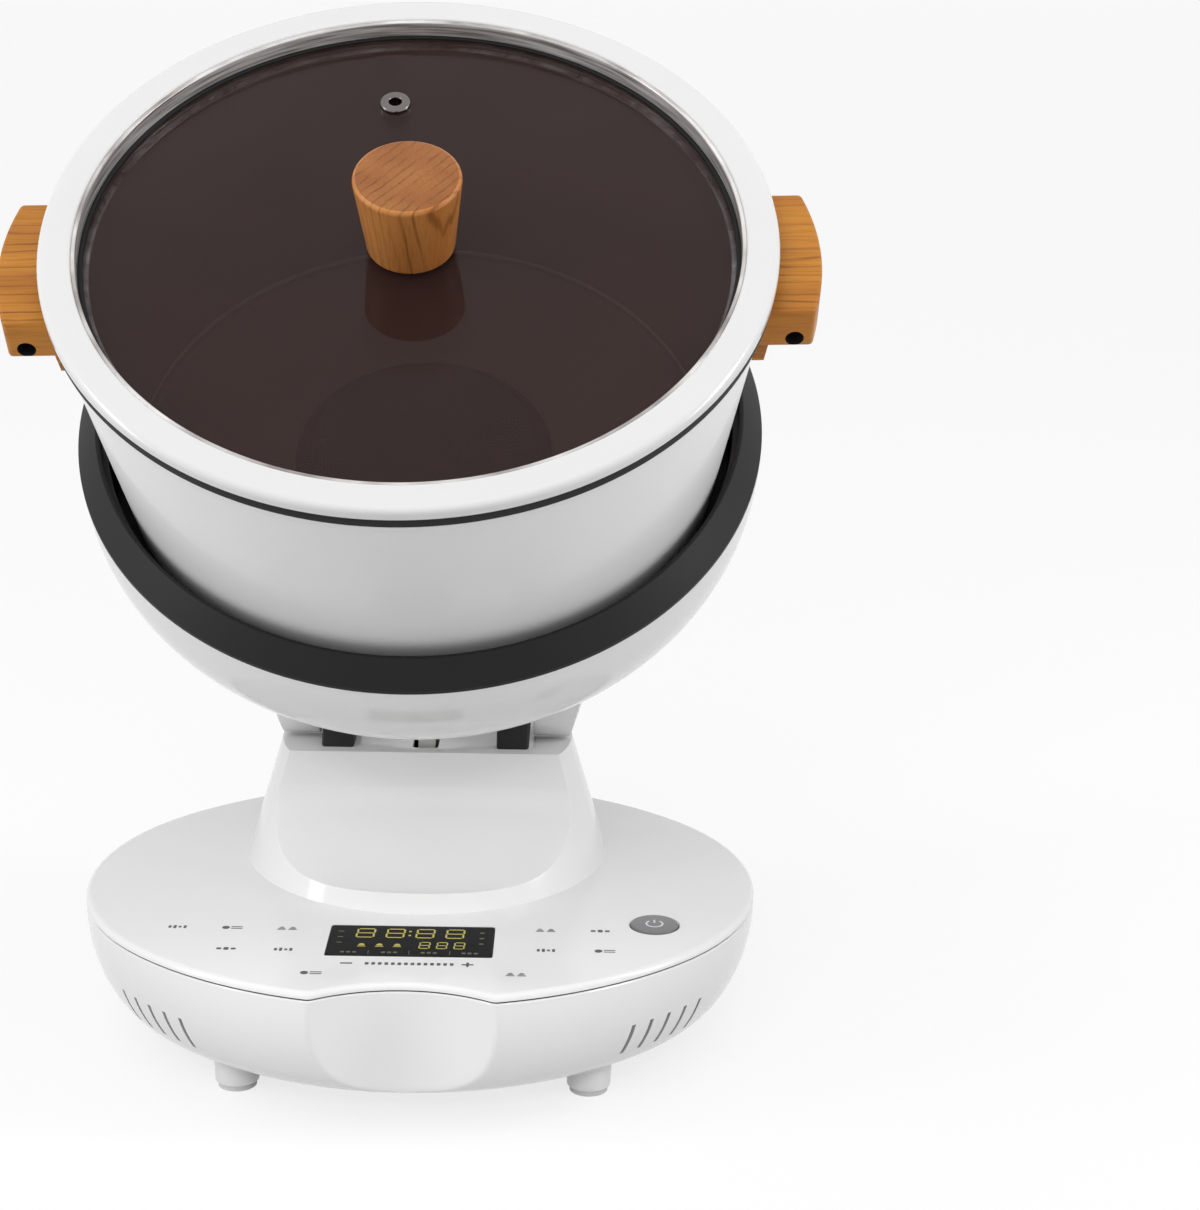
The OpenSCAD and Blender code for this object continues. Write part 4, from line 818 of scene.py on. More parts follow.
def settle(piece, sharp=35):
    """Applies a piece's modifiers to its mesh."""
    graph = bpy.context.evaluated_depsgraph_get()
    mesh = bpy.data.meshes.new_from_object(piece.evaluated_get(graph))
    piece.modifiers.clear()
    piece.data = mesh
    smooth(mesh, sharp)
    return piece


def ease_edges(piece, width, steps=3, angle=32):
    """Rounds a piece's sharp edges."""
    bevel = piece.modifiers.new("eased", "BEVEL")
    bevel.width = width
    bevel.segments = steps
    bevel.limit_method = "ANGLE"
    bevel.angle_limit = math.radians(angle)
    bevel.use_clamp_overlap = True
    return settle(piece)


ease_edges(pedestal_shell, 1.5 * mm, 4)
skin = pedestal_shell.modifiers.new("wall", "SOLIDIFY")
skin.thickness = cone_wall
skin.offset = -1
settle(pedestal_shell, 40)
dress(pedestal_shell, white_gloss, "base", "white_gloss", "pedestal")

# Hinge brackets
# Two black moulded blocks screwed to the pedestal's top, holding bronze bushes that carry the tilt shaft; the
# blocks are left solid, without bores.
head_r = 12.5 * mm
bracket_foot = 21 * mm
satin_black = satin_skin("satin_black", 26, 0.42, 0.35 * mm)


def drawn_along_x(bm, outline, x0, x1):
    """A side outline in Y and Z, drawn out from one X to another."""
    close_ends(bm, [[bm.verts.new((x, y, z)) for y, z in outline] for x in (x0, x1)])


head_arc = spread(0, math.pi, 24)
bracket_outline = [(pivot.y + bracket_foot, cone_top)]
bracket_outline += [(pivot.y + head_r * math.cos(a), pivot.z + head_r * math.sin(a)) for a in head_arc]
bracket_outline += [(pivot.y - bracket_foot, cone_top)]
for side in ("left", "right"):
    node = f"hinge_bracket_{side}"
    bracket_low, bracket_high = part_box(node)
    bm = bmesh.new()
    drawn_along_x(bm, bracket_outline, bracket_low.x, bracket_high.x)
    bracket = ease_edges(new_piece(f"hinge_block_{side}", bm), 1 * mm)
    dress(bracket, satin_black, "base", "black_satin", node)


def plain_metal(name, light, dark, rough, grain=(1, 1, 1)):
    """Bare metal with fine marks drawn out along its grain."""
    finish = Finish(name)
    marks = finish.noise(0.8 * mm, 4, finish.place(grain))
    cloud = finish.noise(20 * mm, 2)
    return finish.coat(
        Base_Color=finish.between(cloud, dark, light),
        Metallic=1.0,
        Roughness=marks * 0.16 + rough,
        Normal=finish.bump(marks, 0.08, 0.05 * mm))


plain_steel = plain_metal("plain_steel", colour(190, 189, 186), colour(168, 167, 164), 0.28, (5, 1, 1))
bronze = plain_metal("sintered_bronze", colour(178, 138, 84), colour(150, 112, 64), 0.4)
refinish(bronze, "hinge_bushes")
refinish(plain_steel, "base_screws", "pedestal_screws", "bracket_screws")

# Boards, fan and inlet inside the base
# Circuit boards on posts, a cooling fan over the floor slots, and a three-blade mains inlet at the back. All
# are bought-in parts in their usual finishes.


def coated_board():
    """Green solder resist with the copper tracks just showing through it."""
    finish = Finish("coated_board")
    pattern = {"Vector": finish.place(), "Scale": 160.0, "Mortar Size": 0.03}
    tracks = finish.node("ShaderNodeTexBrick", {}, pattern, output="Fac")
    cloud = finish.noise(8 * mm, 2)
    tone = finish.between(cloud, colour(18, 78, 44), colour(26, 96, 54))
    return finish.coat(
        Base_Color=finish.between(tracks * 0.6, tone, colour(52, 128, 74)),
        Roughness=cloud * 0.15 + 0.3,
        Normal=finish.bump(tracks, 0.15, 0.05 * mm))


refinish(coated_board(), "touch_board", "power_switch", "power_board")
refinish(satin_black, "display_module", "board_parts", "fan_frame", "fan_rotor", "mains_inlet")
refinish(bronze, "inlet_pins")

# Tilt drive
# Nylon gear sector and pinion, with a cast gearbox and a steel-cased motor hung under the pedestal's top.


def nylon_gear():
    """Natural nylon, greased, with a cloudy sheen."""
    finish = Finish("nylon_gear")
    cloud = finish.noise(6 * mm, 3)
    return finish.coat(
        Base_Color=finish.between(cloud, colour(204, 203, 199), colour(216, 215, 211)),
        Roughness=cloud * 0.15 + 0.4,
        Normal=finish.bump(cloud, 0.05, 0.1 * mm))


cast_alloy = plain_metal("cast_alloy", colour(176, 176, 176), colour(150, 150, 151), 0.42)
refinish(nylon_gear(), "tilt_sector", "tilt_pinion")
refinish(cast_alloy, "tilt_gearbox")
refinish(plain_steel, "tilt_shaft", "tilt_motor", "motor_mount")

# Neck
# The white moulding between hinge and bowl: two cheeks on the tilt shaft that flare up into the bowl, joined
# by a web under its floor. Its upper face is shaped to the bowl, and screws from inside hold it there.
spin = next(joint for joint in frame["joints"] if joint["name"] == "pot_spin")
axis = Vector(spin["axis"]).normalized()
hub_depth = 20 * mm
mouth = Vector(spin["pos_m"]) + axis * hub_depth
across = Vector((1, 0, 0))
on_axis = Matrix((across, axis.cross(across), axis)).transposed().to_4x4()
on_axis.translation = mouth

bowl_r, bowl_arc_r, bowl_lip, bowl_wall = 149.6 * mm, 80 * mm, 5.6 * mm, 2.5 * mm
bowl_floor = -(bowl_lip + bowl_arc_r)
barrel_r = 13 * mm
cheek_x, cheek_out, cheek_flare = 50 * mm, 67 * mm, 0.32
web_z = bowl_floor - 8 * mm
neck_back, neck_front, neck_top = 56 * mm, 34 * mm, 108 * mm
waist_front, waist_z = 32 * mm, 42 * mm
neck_half_w, flare_h = 120 * mm, 160 * mm
gap_half_d, gap_h = 200 * mm, 400 * mm
form_top = 60 * mm
neck_steps = 160


def bowl_profile(wall):
    """Outside or inside of the bowl's section, from its floor to its mouth."""
    x, radius = bowl_r - bowl_arc_r, bowl_arc_r - wall
    turns = [math.radians(a) for a in spread(-90, 0, 40)]
    curve = [Vector((x + radius * math.cos(a), radius * math.sin(a) - bowl_lip)) for a in turns]
    return curve + [Vector((bowl_r - wall, 0))]


def cut(piece, cutter, operation="DIFFERENCE"):
    """Cuts one closed piece with another, which is used up."""
    saw = piece.modifiers.new("cut", "BOOLEAN")
    saw.operation = operation
    saw.solver = "EXACT"
    saw.object = cutter
    settle(piece)
    bpy.data.objects.remove(cutter)


def box_piece(name, low, high, place):
    """A plain block between two corners, in a placed frame."""
    bm = bmesh.new()
    bmesh.ops.create_cube(bm, size=1)
    for v in bm.verts:
        v.co = place @ Vector([a + (b - a) * (c + 0.5) for a, b, c in zip(low, high, v.co)])
    return new_piece(name, bm)


neck_side = [(neck_back, neck_top), (-neck_front, neck_top), (-waist_front, waist_z)]
neck_side += [(-barrel_r * math.cos(a), -barrel_r * math.sin(a)) for a in head_arc]
bm = bmesh.new()
drawn_along_x(bm, [(pivot.y + y, pivot.z + z) for y, z in neck_side], -neck_half_w, neck_half_w)
neck_piece = new_piece("neck_casting", bm)
flare_r, flare_top = cheek_out + cheek_flare * flare_h, flare_h - barrel_r
flare = [(0, -barrel_r), (cheek_out, -barrel_r), (flare_r, flare_top), (0, flare_top)]
cut(neck_piece, turned_piece("neck_flare", flare, Matrix.Translation(pivot), neck_steps), "INTERSECT")
gap_low, gap_high = (-cheek_x, -gap_half_d, web_z - gap_h), (cheek_x, gap_half_d, web_z)
cut(neck_piece, box_piece("neck_gap", gap_low, gap_high, on_axis))
ease_edges(neck_piece, 2.5 * mm, 4, 30)
bowl_form = [(0, bowl_floor)] + bowl_profile(0) + [(bowl_r, form_top), (0, form_top)]
cut(neck_piece, turned_piece("bowl_form", bowl_form, on_axis, neck_steps))
dress(neck_piece, white_gloss, "bowl", "white_gloss", "neck")
refinish(plain_steel, "neck_screws")

# Bowl
# The white outer shell of the heater, one moulded bowl with a flat floor and a straight lip under the collar.
wire_hole = 8 * mm
ring_steps = 192
bowl_outline = [Vector((wire_hole, bowl_floor))] + bowl_profile(0)
bowl_outline += bowl_profile(bowl_wall)[::-1] + [Vector((wire_hole, bowl_floor + bowl_wall))]
bowl = turned_piece("bowl", bowl_outline, on_axis, ring_steps, 40)
dress(bowl, white_gloss, "bowl", "white_gloss", "bowl_shell")

# Collar
# A black moulded ring that caps the bowl and frames the pot, with a sloping outer face. It clamps the liner.
collar_in, collar_out, collar_h = 139.2 * mm, 149.8 * mm, 12.5 * mm
collar_flat, collar_edge = 1.9 * mm, 2 * mm
spigot_out, spigot_in, spigot_l = 146.9 * mm, 144.6 * mm, 5 * mm
ledge = 4 * mm
collar_profile = rounded([(collar_in, ledge, 0.2 * mm), (collar_in, collar_h, 0.9 * mm),
                          (collar_in + collar_flat, collar_h, 0.8 * mm), (collar_out, collar_edge, 0.9 * mm),
                          (collar_out, 0, 0.2 * mm), (spigot_out, 0, 0), (spigot_out, -spigot_l, 0.3 * mm),
                          (spigot_in, -spigot_l, 0.3 * mm), (spigot_in, ledge, 0)], 5)
collar = turned_piece("collar_ring", collar_profile, on_axis, ring_steps)
dress(collar, satin_skin("collar_black", 14, 0.45, 0.4 * mm), "bowl", "black_satin", "collar")
refinish(plain_steel, "collar_screws")

# Heater under the pot
# A liner coloured dark grey as painted shade in the gap round the pot, an insulating sheet, a flat copper
# coil on a tray, and the motor that turns the pot.


def liner_painted_shade():
    """Pressed aluminium coloured dark grey, as painted shade in the gap between pot and collar, scuffed where
    the pot passes.
    """
    finish = Finish("liner_painted_shade")
    speck = finish.noise(0.7 * mm, 3)
    scuff = finish.ramp(finish.noise(14 * mm, 4), 0.5, 0.8)
    return finish.coat(
        Base_Color=finish.between(scuff, colour(40, 39, 38), colour(62, 60, 58)),
        Metallic=0.2,
        Roughness=speck * 0.2 + 0.45,
        Normal=finish.bump(speck, 0.2, 0.06 * mm))


def wound_copper():
    """Flat spiral of lacquered copper wire, its turns shown as fine rings."""
    finish = Finish("wound_copper")
    wire = {"Vector": finish.place(), "Scale": 90.0, "Distortion": 0.2}
    turns = finish.node("ShaderNodeTexWave", {"wave_type": "RINGS"}, wire)
    return finish.coat(
        Base_Color=finish.between(turns, colour(128, 70, 40), colour(196, 118, 70)),
        Metallic=0.9,
        Roughness=turns * 0.2 + 0.3,
        Normal=finish.bump(turns, 0.4, 0.4 * mm))


def pressed_mica():
    """Pressed mica board, flaky and pale."""
    finish = Finish("pressed_mica")
    flake = finish.node("ShaderNodeTexVoronoi", {}, {"Vector": finish.place(), "Scale": 300.0})
    return finish.coat(
        Base_Color=finish.between(flake, colour(176, 164, 134), colour(206, 195, 166)),
        Roughness=flake * 0.3 + 0.35,
        Normal=finish.bump(flake, 0.2, 0.1 * mm))


refinish(liner_painted_shade(), "bowl_liner")
refinish(wound_copper(), "heating_coil")
refinish(pressed_mica(), "mica_sheet")
refinish(satin_black, "coil_tray", "drive_hub")
refinish(cast_alloy, "spin_motor", "temp_sensor")
refinish(bronze, "hub_bush")
refinish(plain_steel, "hub_shaft")

# Pot
# A cast alloy pot with a tapered wall, a turned-out rim and a raised middle. The outside has a pale enamel
# and the inside a darker non-stick coat; a steel coupling under it drops over the drive pins.
pot_rise, pot_r, pot_depth = 102.4 * mm, 147 * mm, 128.4 * mm
pot_taper = math.tan(math.radians(8))
pot_wall, pot_floor_t = 3 * mm, 4 * mm
pot_floor = pot_rise - pot_depth
boss_r, boss_h, boss_in, boss_slope = 50 * mm, 8 * mm, 2 * mm, 8 * mm
boss_top, floor_top = pot_floor + boss_h, pot_floor + pot_floor_t
lip_w, lip_t, lip_crest = 1.2 * mm, 2.5 * mm, 1.2 * mm
lip_low = pot_rise - lip_t
bead_z, bead_half, bead_h = pot_floor + 9 * mm, 1.5 * mm, 0.8 * mm


def pot_wall_r(z):
    return pot_r - (pot_rise - z) * pot_taper


boss_out = boss_r - boss_in + boss_slope
outside = rounded([(0, boss_top, 0), (boss_r - boss_in, boss_top, 2 * mm), (boss_out, pot_floor, 2 * mm),
                   (pot_wall_r(pot_floor), pot_floor, 15 * mm),
                   (pot_wall_r(lip_low), lip_low - lip_w, 1 * mm), (pot_r + lip_w, lip_low, 0.4 * mm),
                   (pot_r + lip_w, pot_rise, 0.7 * mm), (pot_r - lip_crest, pot_rise, 0.2 * mm)], 10)
bead_r = pot_wall_r(bead_z) - pot_wall
inside = rounded([(pot_r - lip_crest - 0.05 * mm, pot_rise, 0), (pot_r - pot_wall, pot_rise, 1 * mm),
                  (bead_r, bead_z + bead_half, 0.3 * mm), (bead_r - bead_h, bead_z, 0.4 * mm),
                  (bead_r, bead_z - bead_half, 0.3 * mm),
                  (pot_wall_r(floor_top) - pot_wall, floor_top, 3 * mm),
                  (boss_r + boss_slope, floor_top, 2 * mm), (boss_r, floor_top + boss_h, 2 * mm),
                  (0, floor_top + boss_h, 0)], 10)
pot = turned_piece("pot_casting", outside + inside, on_axis, ring_steps, 50)


def pot_enamel():
    """Pale satin enamel with a very fine speck."""
    finish = Finish("pot_enamel")
    speck = finish.ramp(finish.noise(0.9 * mm, 3), 0.3, 0.7)
    cloud = finish.noise(50 * mm, 2)
    return finish.coat(
        Base_Color=finish.between(cloud, colour(234, 234, 235), colour(239, 239, 239)),
        Roughness=speck * 0.08 + 0.3,
        Coat_Weight=0.15,
        Normal=finish.bump(speck, 0.04, 0.08 * mm))


def pot_lining(name, light, dark):
    """Non-stick coat, sprayed on and baked, with a fine even speck."""
    finish = Finish(name)
    speck = finish.noise(0.6 * mm, 4)
    return finish.coat(
        Base_Color=finish.between(speck, dark, light),
        Roughness=speck * 0.1 + 0.45,
        Normal=finish.bump(speck, 0.03, 0.05 * mm))


dress(pot, pot_enamel(), "pot_body", "pot_coat", "pot")
pot.data.materials.append(pot_lining("pot_lining", colour(148, 124, 119), colour(140, 117, 112)))
# The bead low in the pot's wall is a real ridge; its much paler coat is a painted highlight along it
pot.data.materials.append(pot_lining("pot_bead_painted_highlight", colour(214, 196, 190), colour(204, 186, 180)))
# The raised middle is coloured near black, much darker than the rest of the lining
pot.data.materials.append(pot_lining("pot_middle", colour(36, 33, 33), colour(30, 27, 27)))
lining_r, lining_drop = 120 * mm, 1.2 * mm
inward = on_axis.inverted()
for face in pot.data.polygons:
    centre = inward @ face.center
    normal = inward.to_3x3() @ face.normal
    radial = Vector((centre.x, centre.y, 0))
    by_wall = radial.length > lining_r
    facing_in = normal.z > 0.3 or (by_wall and normal.dot(radial) < 0)
    if facing_in and centre.z < pot_rise - lining_drop:
        # Faces on the bead take the painted highlight
        on_bead_highlight = by_wall and abs(centre.z - bead_z) < bead_half - 0.1 * mm
        in_middle = radial.length < boss_out
        face.material_index = 2 if on_bead_highlight else 3 if in_middle else 1
refinish(plain_steel, "pot_coupling")

# Handles
# Two grips of oiled hardwood on steel tabs that stand out from the pot. Each has a bowed outer face, a blind
# hole in its front end, and a thin leg that lies along the pot's wall.
handle_half, handle_h, handle_drop = 35 * mm, 19.5 * mm, 0.9 * mm
handle_reach, handle_face_r, handle_corner = 168.3 * mm, 115 * mm, 2.2 * mm
pot_turn = math.radians(2.5)
handle_top = lip_low - handle_drop
handle_low = handle_top - handle_h
handle_gap = 0.25 * mm
leg_t, leg_l, leg_inset, leg_lap = 5 * mm, 10 * mm, 2 * mm, 2 * mm
bore_x, bore_rise, bore_r, bore_depth, bore_clear = 155.4 * mm, 4.4 * mm, 3.8 * mm, 14 * mm, 10 * mm
face_x = handle_reach - handle_face_r
mirrored = Matrix.Diagonal((-1, 1, 1, 1))
on_pot = on_axis @ Matrix.Rotation(pot_turn, 4, "Z")
grain_across = Matrix(((0, 0, 1), (1, 0, 0), (0, 1, 0)))


def wall_x(y, z, grow):
    """How far out the pot's wall is, grown by a gap, at a place along the handle and a height."""
    return math.sqrt((pot_wall_r(z) + grow) ** 2 - y * y)


def grip_face(y, z):
    """The grip's bowed outer face, the same at each height."""
    return face_x + math.sqrt(handle_face_r ** 2 - y * y)


def leg_face(y, z):
    return wall_x(y, z, handle_gap + leg_t)


def wall_block(name, place, half, levels, outer_face, corner):
    """A block between the pot's wall and an outer face, with the ends of that face rounded."""
    ys = spread(-half, half, 28)
    rings = []
    for z in levels:
        corners = [(wall_x(y, z, handle_gap), y, 0) for y in ys]
        corners += [(outer_face(y, z), y, corner if abs(y) == half else 0) for y in reversed(ys)]
        rings.append([place @ Vector((x, y, z)) for x, y in rounded(corners, 5)])
    bm = bmesh.new()
    close_ends(bm, add_rings(bm, rings))
    return new_piece(name, bm)


def oiled_wood(name, light, dark, line, turn, ring_size, swing):
    """Oiled hardwood: thin growth lines that sway a little, long along the grain, with fine short pores."""
    finish = Finish(name)
    along = finish.place((1, 1, 7), turn)
    sway = finish.noise(16 * mm, 2, along)
    bands = {"wave_type": "BANDS", "bands_direction": "X", "wave_profile": "SIN"}
    growth = {"Vector": along, "Scale": 0.32 / ring_size, "Distortion": sway * swing,
              "Detail": 3.0, "Detail Scale": 2.0}
    rings = finish.node("ShaderNodeTexWave", bands, growth)
    patch = finish.noise(9 * mm, 3, along)
    fibre = finish.noise(1.2 * mm, 3, finish.place((1, 1, 20), turn))
    tone = finish.between(finish.ramp(sway, 0.3, 0.7), light, dark)
    lined = finish.between(finish.ramp(rings, 0.82, 1.0) * finish.ramp(patch, 0.3, 0.7) * 0.75, tone, line)
    return finish.coat(
        Base_Color=finish.between(finish.ramp(fibre, 0.5, 0.75) * 0.35, lined, line),
        Roughness=fibre * 0.14 + 0.38,
        IOR=1.4,
        Coat_Weight=0.08,
        Coat_Roughness=0.3,
        Normal=finish.bump(fibre, 0.08, 0.1 * mm))


handle_wood = oiled_wood("handle_wood", colour(202, 134, 40), colour(172, 104, 22), colour(108, 54, 8),
                         (on_pot.to_3x3() @ grain_across).to_euler(), 5 * mm, 11.0)
bore_turn = Matrix.Rotation(math.pi / 2, 4, "X")
bore_at = Matrix.Translation((bore_x, -handle_half, handle_low + bore_rise))
bore_profile = [(0, -bore_depth), (bore_r, -bore_depth), (bore_r, bore_clear), (0, bore_clear)]
# The bore's inside is coloured near black: painted shade in the hole
bore_painted_shade = satin_skin("bore_painted_shade", 24, 0.7, 0.5 * mm)
grip_levels = handle_low, handle_top
leg_levels = handle_low - leg_l, handle_low + leg_lap
for side, place in (("right", on_pot), ("left", on_pot @ mirrored)):
    grip = wall_block(f"handle_grip_{side}", place, handle_half, grip_levels, grip_face, handle_corner)
    ease_edges(grip, 1.2 * mm, 3, 40)
    cut(grip, wall_block("leg", place, handle_half - leg_inset, leg_levels, leg_face, 0), "UNION")
    bore = place @ bore_at @ bore_turn
    cut(grip, turned_piece("bore", bore_profile, bore, 40))
    dress(grip, handle_wood, "pot_body", "handle_wood", f"handle_{side}")
    grip.data.materials.append(bore_painted_shade)
    # Faces inside the bore take the painted shade
    into = bore.inverted()
    for face in grip.data.polygons:
        centre = into @ face.center
        if math.hypot(centre.x, centre.y) < bore_r + 0.1 * mm and centre.z < -0.5 * mm:
            face.material_index = 1
dark_steel = plain_metal("dark_steel", colour(92, 90, 88), colour(70, 68, 66), 0.4)
refinish(dark_steel, "handle_brackets", "handle_screws")

# Lid rim and gasket
# A white moulded ring round the lid with a rounded outer edge, over a black silicone gasket that rests on
# the pot.
lid_r, rim_in, rim_h = 150 * mm, 136.5 * mm, 5.3 * mm
lid_gap, gasket_h, gasket_w, gasket_inset = 0.3 * mm, 5 * mm, 12 * mm, 0.6 * mm
gasket_z = pot_rise + lid_gap
gasket_out = lid_r - gasket_inset
gasket_in = gasket_out - gasket_w
rim_z = gasket_z + gasket_h
lid_top = rim_z + rim_h
rim_profile = rounded([(rim_in, rim_z, 0.2 * mm), (lid_r, rim_z, 0.6 * mm), (lid_r, lid_top, 2.5 * mm),
                       (rim_in, lid_top, 0.9 * mm)], 8)
lid_rim = turned_piece("lid_rim_ring", rim_profile, on_axis, ring_steps)
dress(lid_rim, white_gloss, "lid", "white_gloss", "lid_rim")
gasket_profile = rounded([(gasket_in, gasket_z, 0.5 * mm), (gasket_out, gasket_z, 1 * mm),
                          (gasket_out, rim_z, 0.2 * mm), (gasket_in, rim_z, 0.2 * mm)], 5)
lid_gasket = turned_piece("lid_gasket_ring", gasket_profile, on_axis, ring_steps)
black_rubber = satin_skin("black_rubber", 20, 0.55, 0.5 * mm)
dress(lid_gasket, black_rubber, "lid", "rubber_black", "lid_gasket")

# Lid band
# A polished steel band pressed into the white ring. Its turned-in ledge carries the glass.
band_gap, band_t, band_drop = 0.05 * mm, 1.75 * mm, 0.6 * mm
ledge_w, ledge_t = 4 * mm, 1.5 * mm
glass_sunk, glass_t = 8.5 * mm, 4 * mm
glass_top = lid_top - glass_sunk
glass_z = glass_top - glass_t
band_out = rim_in - band_gap
band_in = band_out - band_t
ledge_in = band_in - ledge_w
band_low, band_top = glass_z - ledge_t, lid_top - band_drop
band_profile = rounded([(ledge_in, band_low, 0.4 * mm), (band_out, band_low, 0.6 * mm),
                        (band_out, band_top, 0.3 * mm), (band_in, band_top, 0.7 * mm),
                        (band_in, glass_z, 0), (ledge_in, glass_z, 0.4 * mm)], 5)
lid_band = turned_piece("lid_band_ring", band_profile, on_axis, ring_steps)


def steel_painted_reflections():
    """Polished stainless steel. Bright and dark streaks round the band are painted into its colour as
    reflections; the same streaks vary its roughness and bump as polishing marks.
    """
    finish = Finish("steel_painted_reflections")
    round_band = finish.place((25, 25, 1), on_axis.to_euler())
    marks = finish.ramp(finish.noise(1.4 * mm, 3, round_band), 0.35, 0.65)
    return finish.coat(
        Base_Color=finish.between(marks, colour(150, 142, 139), colour(244, 242, 240)),
        Metallic=0.4,
        Roughness=marks * 0.1 + 0.16,
        Normal=finish.bump(marks, 0.03, 0.05 * mm))


# The band and the knob washer share this steel, with reflections painted into its colour
bright_steel = steel_painted_reflections()
dress(lid_band, bright_steel, "lid", "bright_steel", "lid_band")

# Glass and its seal
# A flat disc of smoked toughened glass with a ground edge, held on the ledge by a thin black seal. It is
# drilled for the steam vent; the hole for the knob's screw is left out.
glass_r = band_in - 0.3 * mm
vent_turn, vent_reach = math.radians(7.6), 90 * mm
vent_hole_r, hole_margin = 5 * mm, 2 * mm
on_vent = on_axis @ Matrix.Rotation(vent_turn, 4, "Z") @ Matrix.Translation((0, vent_reach, 0))
glass_profile = rounded([(0, glass_z, 0), (glass_r, glass_z, 0.8 * mm), (glass_r, glass_top, 0.8 * mm),
                         (0, glass_top, 0)], 5)
glass = turned_piece("lid_glass_disc", glass_profile, on_axis, ring_steps)
hole_low, hole_top = glass_z - hole_margin, glass_top + hole_margin
vent_hole = [(0, hole_low), (vent_hole_r, hole_low), (vent_hole_r, hole_top), (0, hole_top)]
cut(glass, turned_piece("vent_hole", vent_hole, on_vent, 48))


def smoked_glass():
    """Brown smoked glass, polished, part see-through, with a faint film of wipe marks."""
    finish = Finish("smoked_glass")
    wipe = finish.ramp(finish.noise(40 * mm, 4), 0.4, 0.8)
    return finish.coat(
        Base_Color=finish.between(wipe, colour(50, 31, 28), colour(56, 37, 34)),
        Roughness=wipe * 0.03 + 0.03,
        IOR=1.35,
        Alpha=0.55)


dress(glass, smoked_glass(), "lid", "smoked_glass", "lid_glass")
seal_gap, seal_w, seal_h = 0.05 * mm, 1.9 * mm, 1.1 * mm
seal_out, seal_top = band_in - seal_gap, glass_top + seal_h
seal_in = seal_out - seal_w
seal_profile = rounded([(seal_in, glass_top, 0), (seal_out, glass_top, 0), (seal_out, seal_top, 0.4 * mm),
                        (seal_in, seal_top, 0.5 * mm)], 4)
glass_seal = turned_piece("glass_seal_ring", seal_profile, on_axis, ring_steps)
dress(glass_seal, black_rubber, "lid", "rubber_black", "glass_seal")

# Steam vent
# A small steel grommet riveted through the glass, with a flange above and below and an open bore.
vent_bore, vent_out, vent_flange, vent_t = 2.75 * mm, 4.85 * mm, 6.65 * mm, 1.5 * mm
vent_low, vent_top = glass_z - vent_t, glass_top + vent_t
vent_profile = rounded([(vent_bore, vent_low, 0.3 * mm), (vent_flange, vent_low, 0.5 * mm),
                        (vent_flange, glass_z, 0.1 * mm), (vent_out, glass_z, 0), (vent_out, glass_top, 0),
                        (vent_flange, glass_top, 0.1 * mm), (vent_flange, vent_top, 0.9 * mm),
                        (vent_bore, vent_top, 0.6 * mm)], 5)
vent = turned_piece("vent_grommet_ring", vent_profile, on_vent, 64)
vent_steel = plain_metal("vent_steel", colour(132, 126, 124), colour(104, 99, 98), 0.16)
dress(vent, vent_steel, "lid", "bright_steel", "vent_grommet")

# Knob
# A turned knob of pale oiled hardwood that widens upwards, on a steel washer. A screw from under the glass
# holds it.
washer_r, washer_bore, washer_t = 14 * mm, 2.5 * mm, 1.5 * mm
knob_h, knob_low_r, knob_top_r = 36.8 * mm, 18 * mm, 22.2 * mm
knob_z = glass_top + washer_t
knob_top = knob_z + knob_h
knob_profile = rounded([(0, knob_z, 0), (knob_low_r, knob_z, 1.4 * mm), (knob_top_r, knob_top, 2.2 * mm),
                        (0, knob_top, 0)], 8)
knob = turned_piece("lid_knob_turning", knob_profile, on_axis, 128)
knob_turn = (on_axis @ Matrix.Rotation(math.radians(-40), 4, "Z")).to_euler()
knob_wood = oiled_wood("knob_wood", colour(204, 136, 72), colour(184, 114, 54), colour(124, 70, 28),
                       knob_turn, 4 * mm, 4.0)
# A darker copy of the knob's wood for its flat top: painted shade on the top face
knob_shaded_top = oiled_wood("knob_painted_top_shade", colour(166, 106, 52), colour(148, 88, 38), colour(98, 52, 20),
                      knob_turn, 4 * mm, 4.0)
dress(knob, knob_wood, "lid", "knob_wood", "lid_knob")
knob.data.materials.append(knob_shaded_top)
# Faces that look up the axis, the knob's top, take the painted shade
for face in knob.data.polygons:
    if face.normal.dot(axis) > 0.9:
        face.material_index = 1
washer_profile = rounded([(washer_bore, glass_top, 0), (washer_r, glass_top, 0.2 * mm),
                          (washer_r, knob_z, 0.2 * mm), (washer_bore, knob_z, 0)], 3)
washer = turned_piece("knob_washer_disc", washer_profile, on_axis, 72)
dress(washer, bright_steel, "lid", "bright_steel", "knob_washer")
refinish(plain_steel, "knob_screw")

# Floor, light and camera
# A plain pale floor, broad soft lamps, and a camera at the height and angle of the photograph.


def seen_share(finish, hidden, shown):
    """One value for rays that light the object, and another for rays that show the background."""
    kinds = "Is Camera Ray", "Is Glossy Ray", "Is Transmission Ray"
    direct, mirrored_ray, passed = [finish.node("ShaderNodeLightPath", output=kind) for kind in kinds]
    seen = direct + mirrored_ray + passed
    return finish.node("ShaderNodeMapRange", {}, {"Value": seen, "To Min": hidden, "To Max": shown})


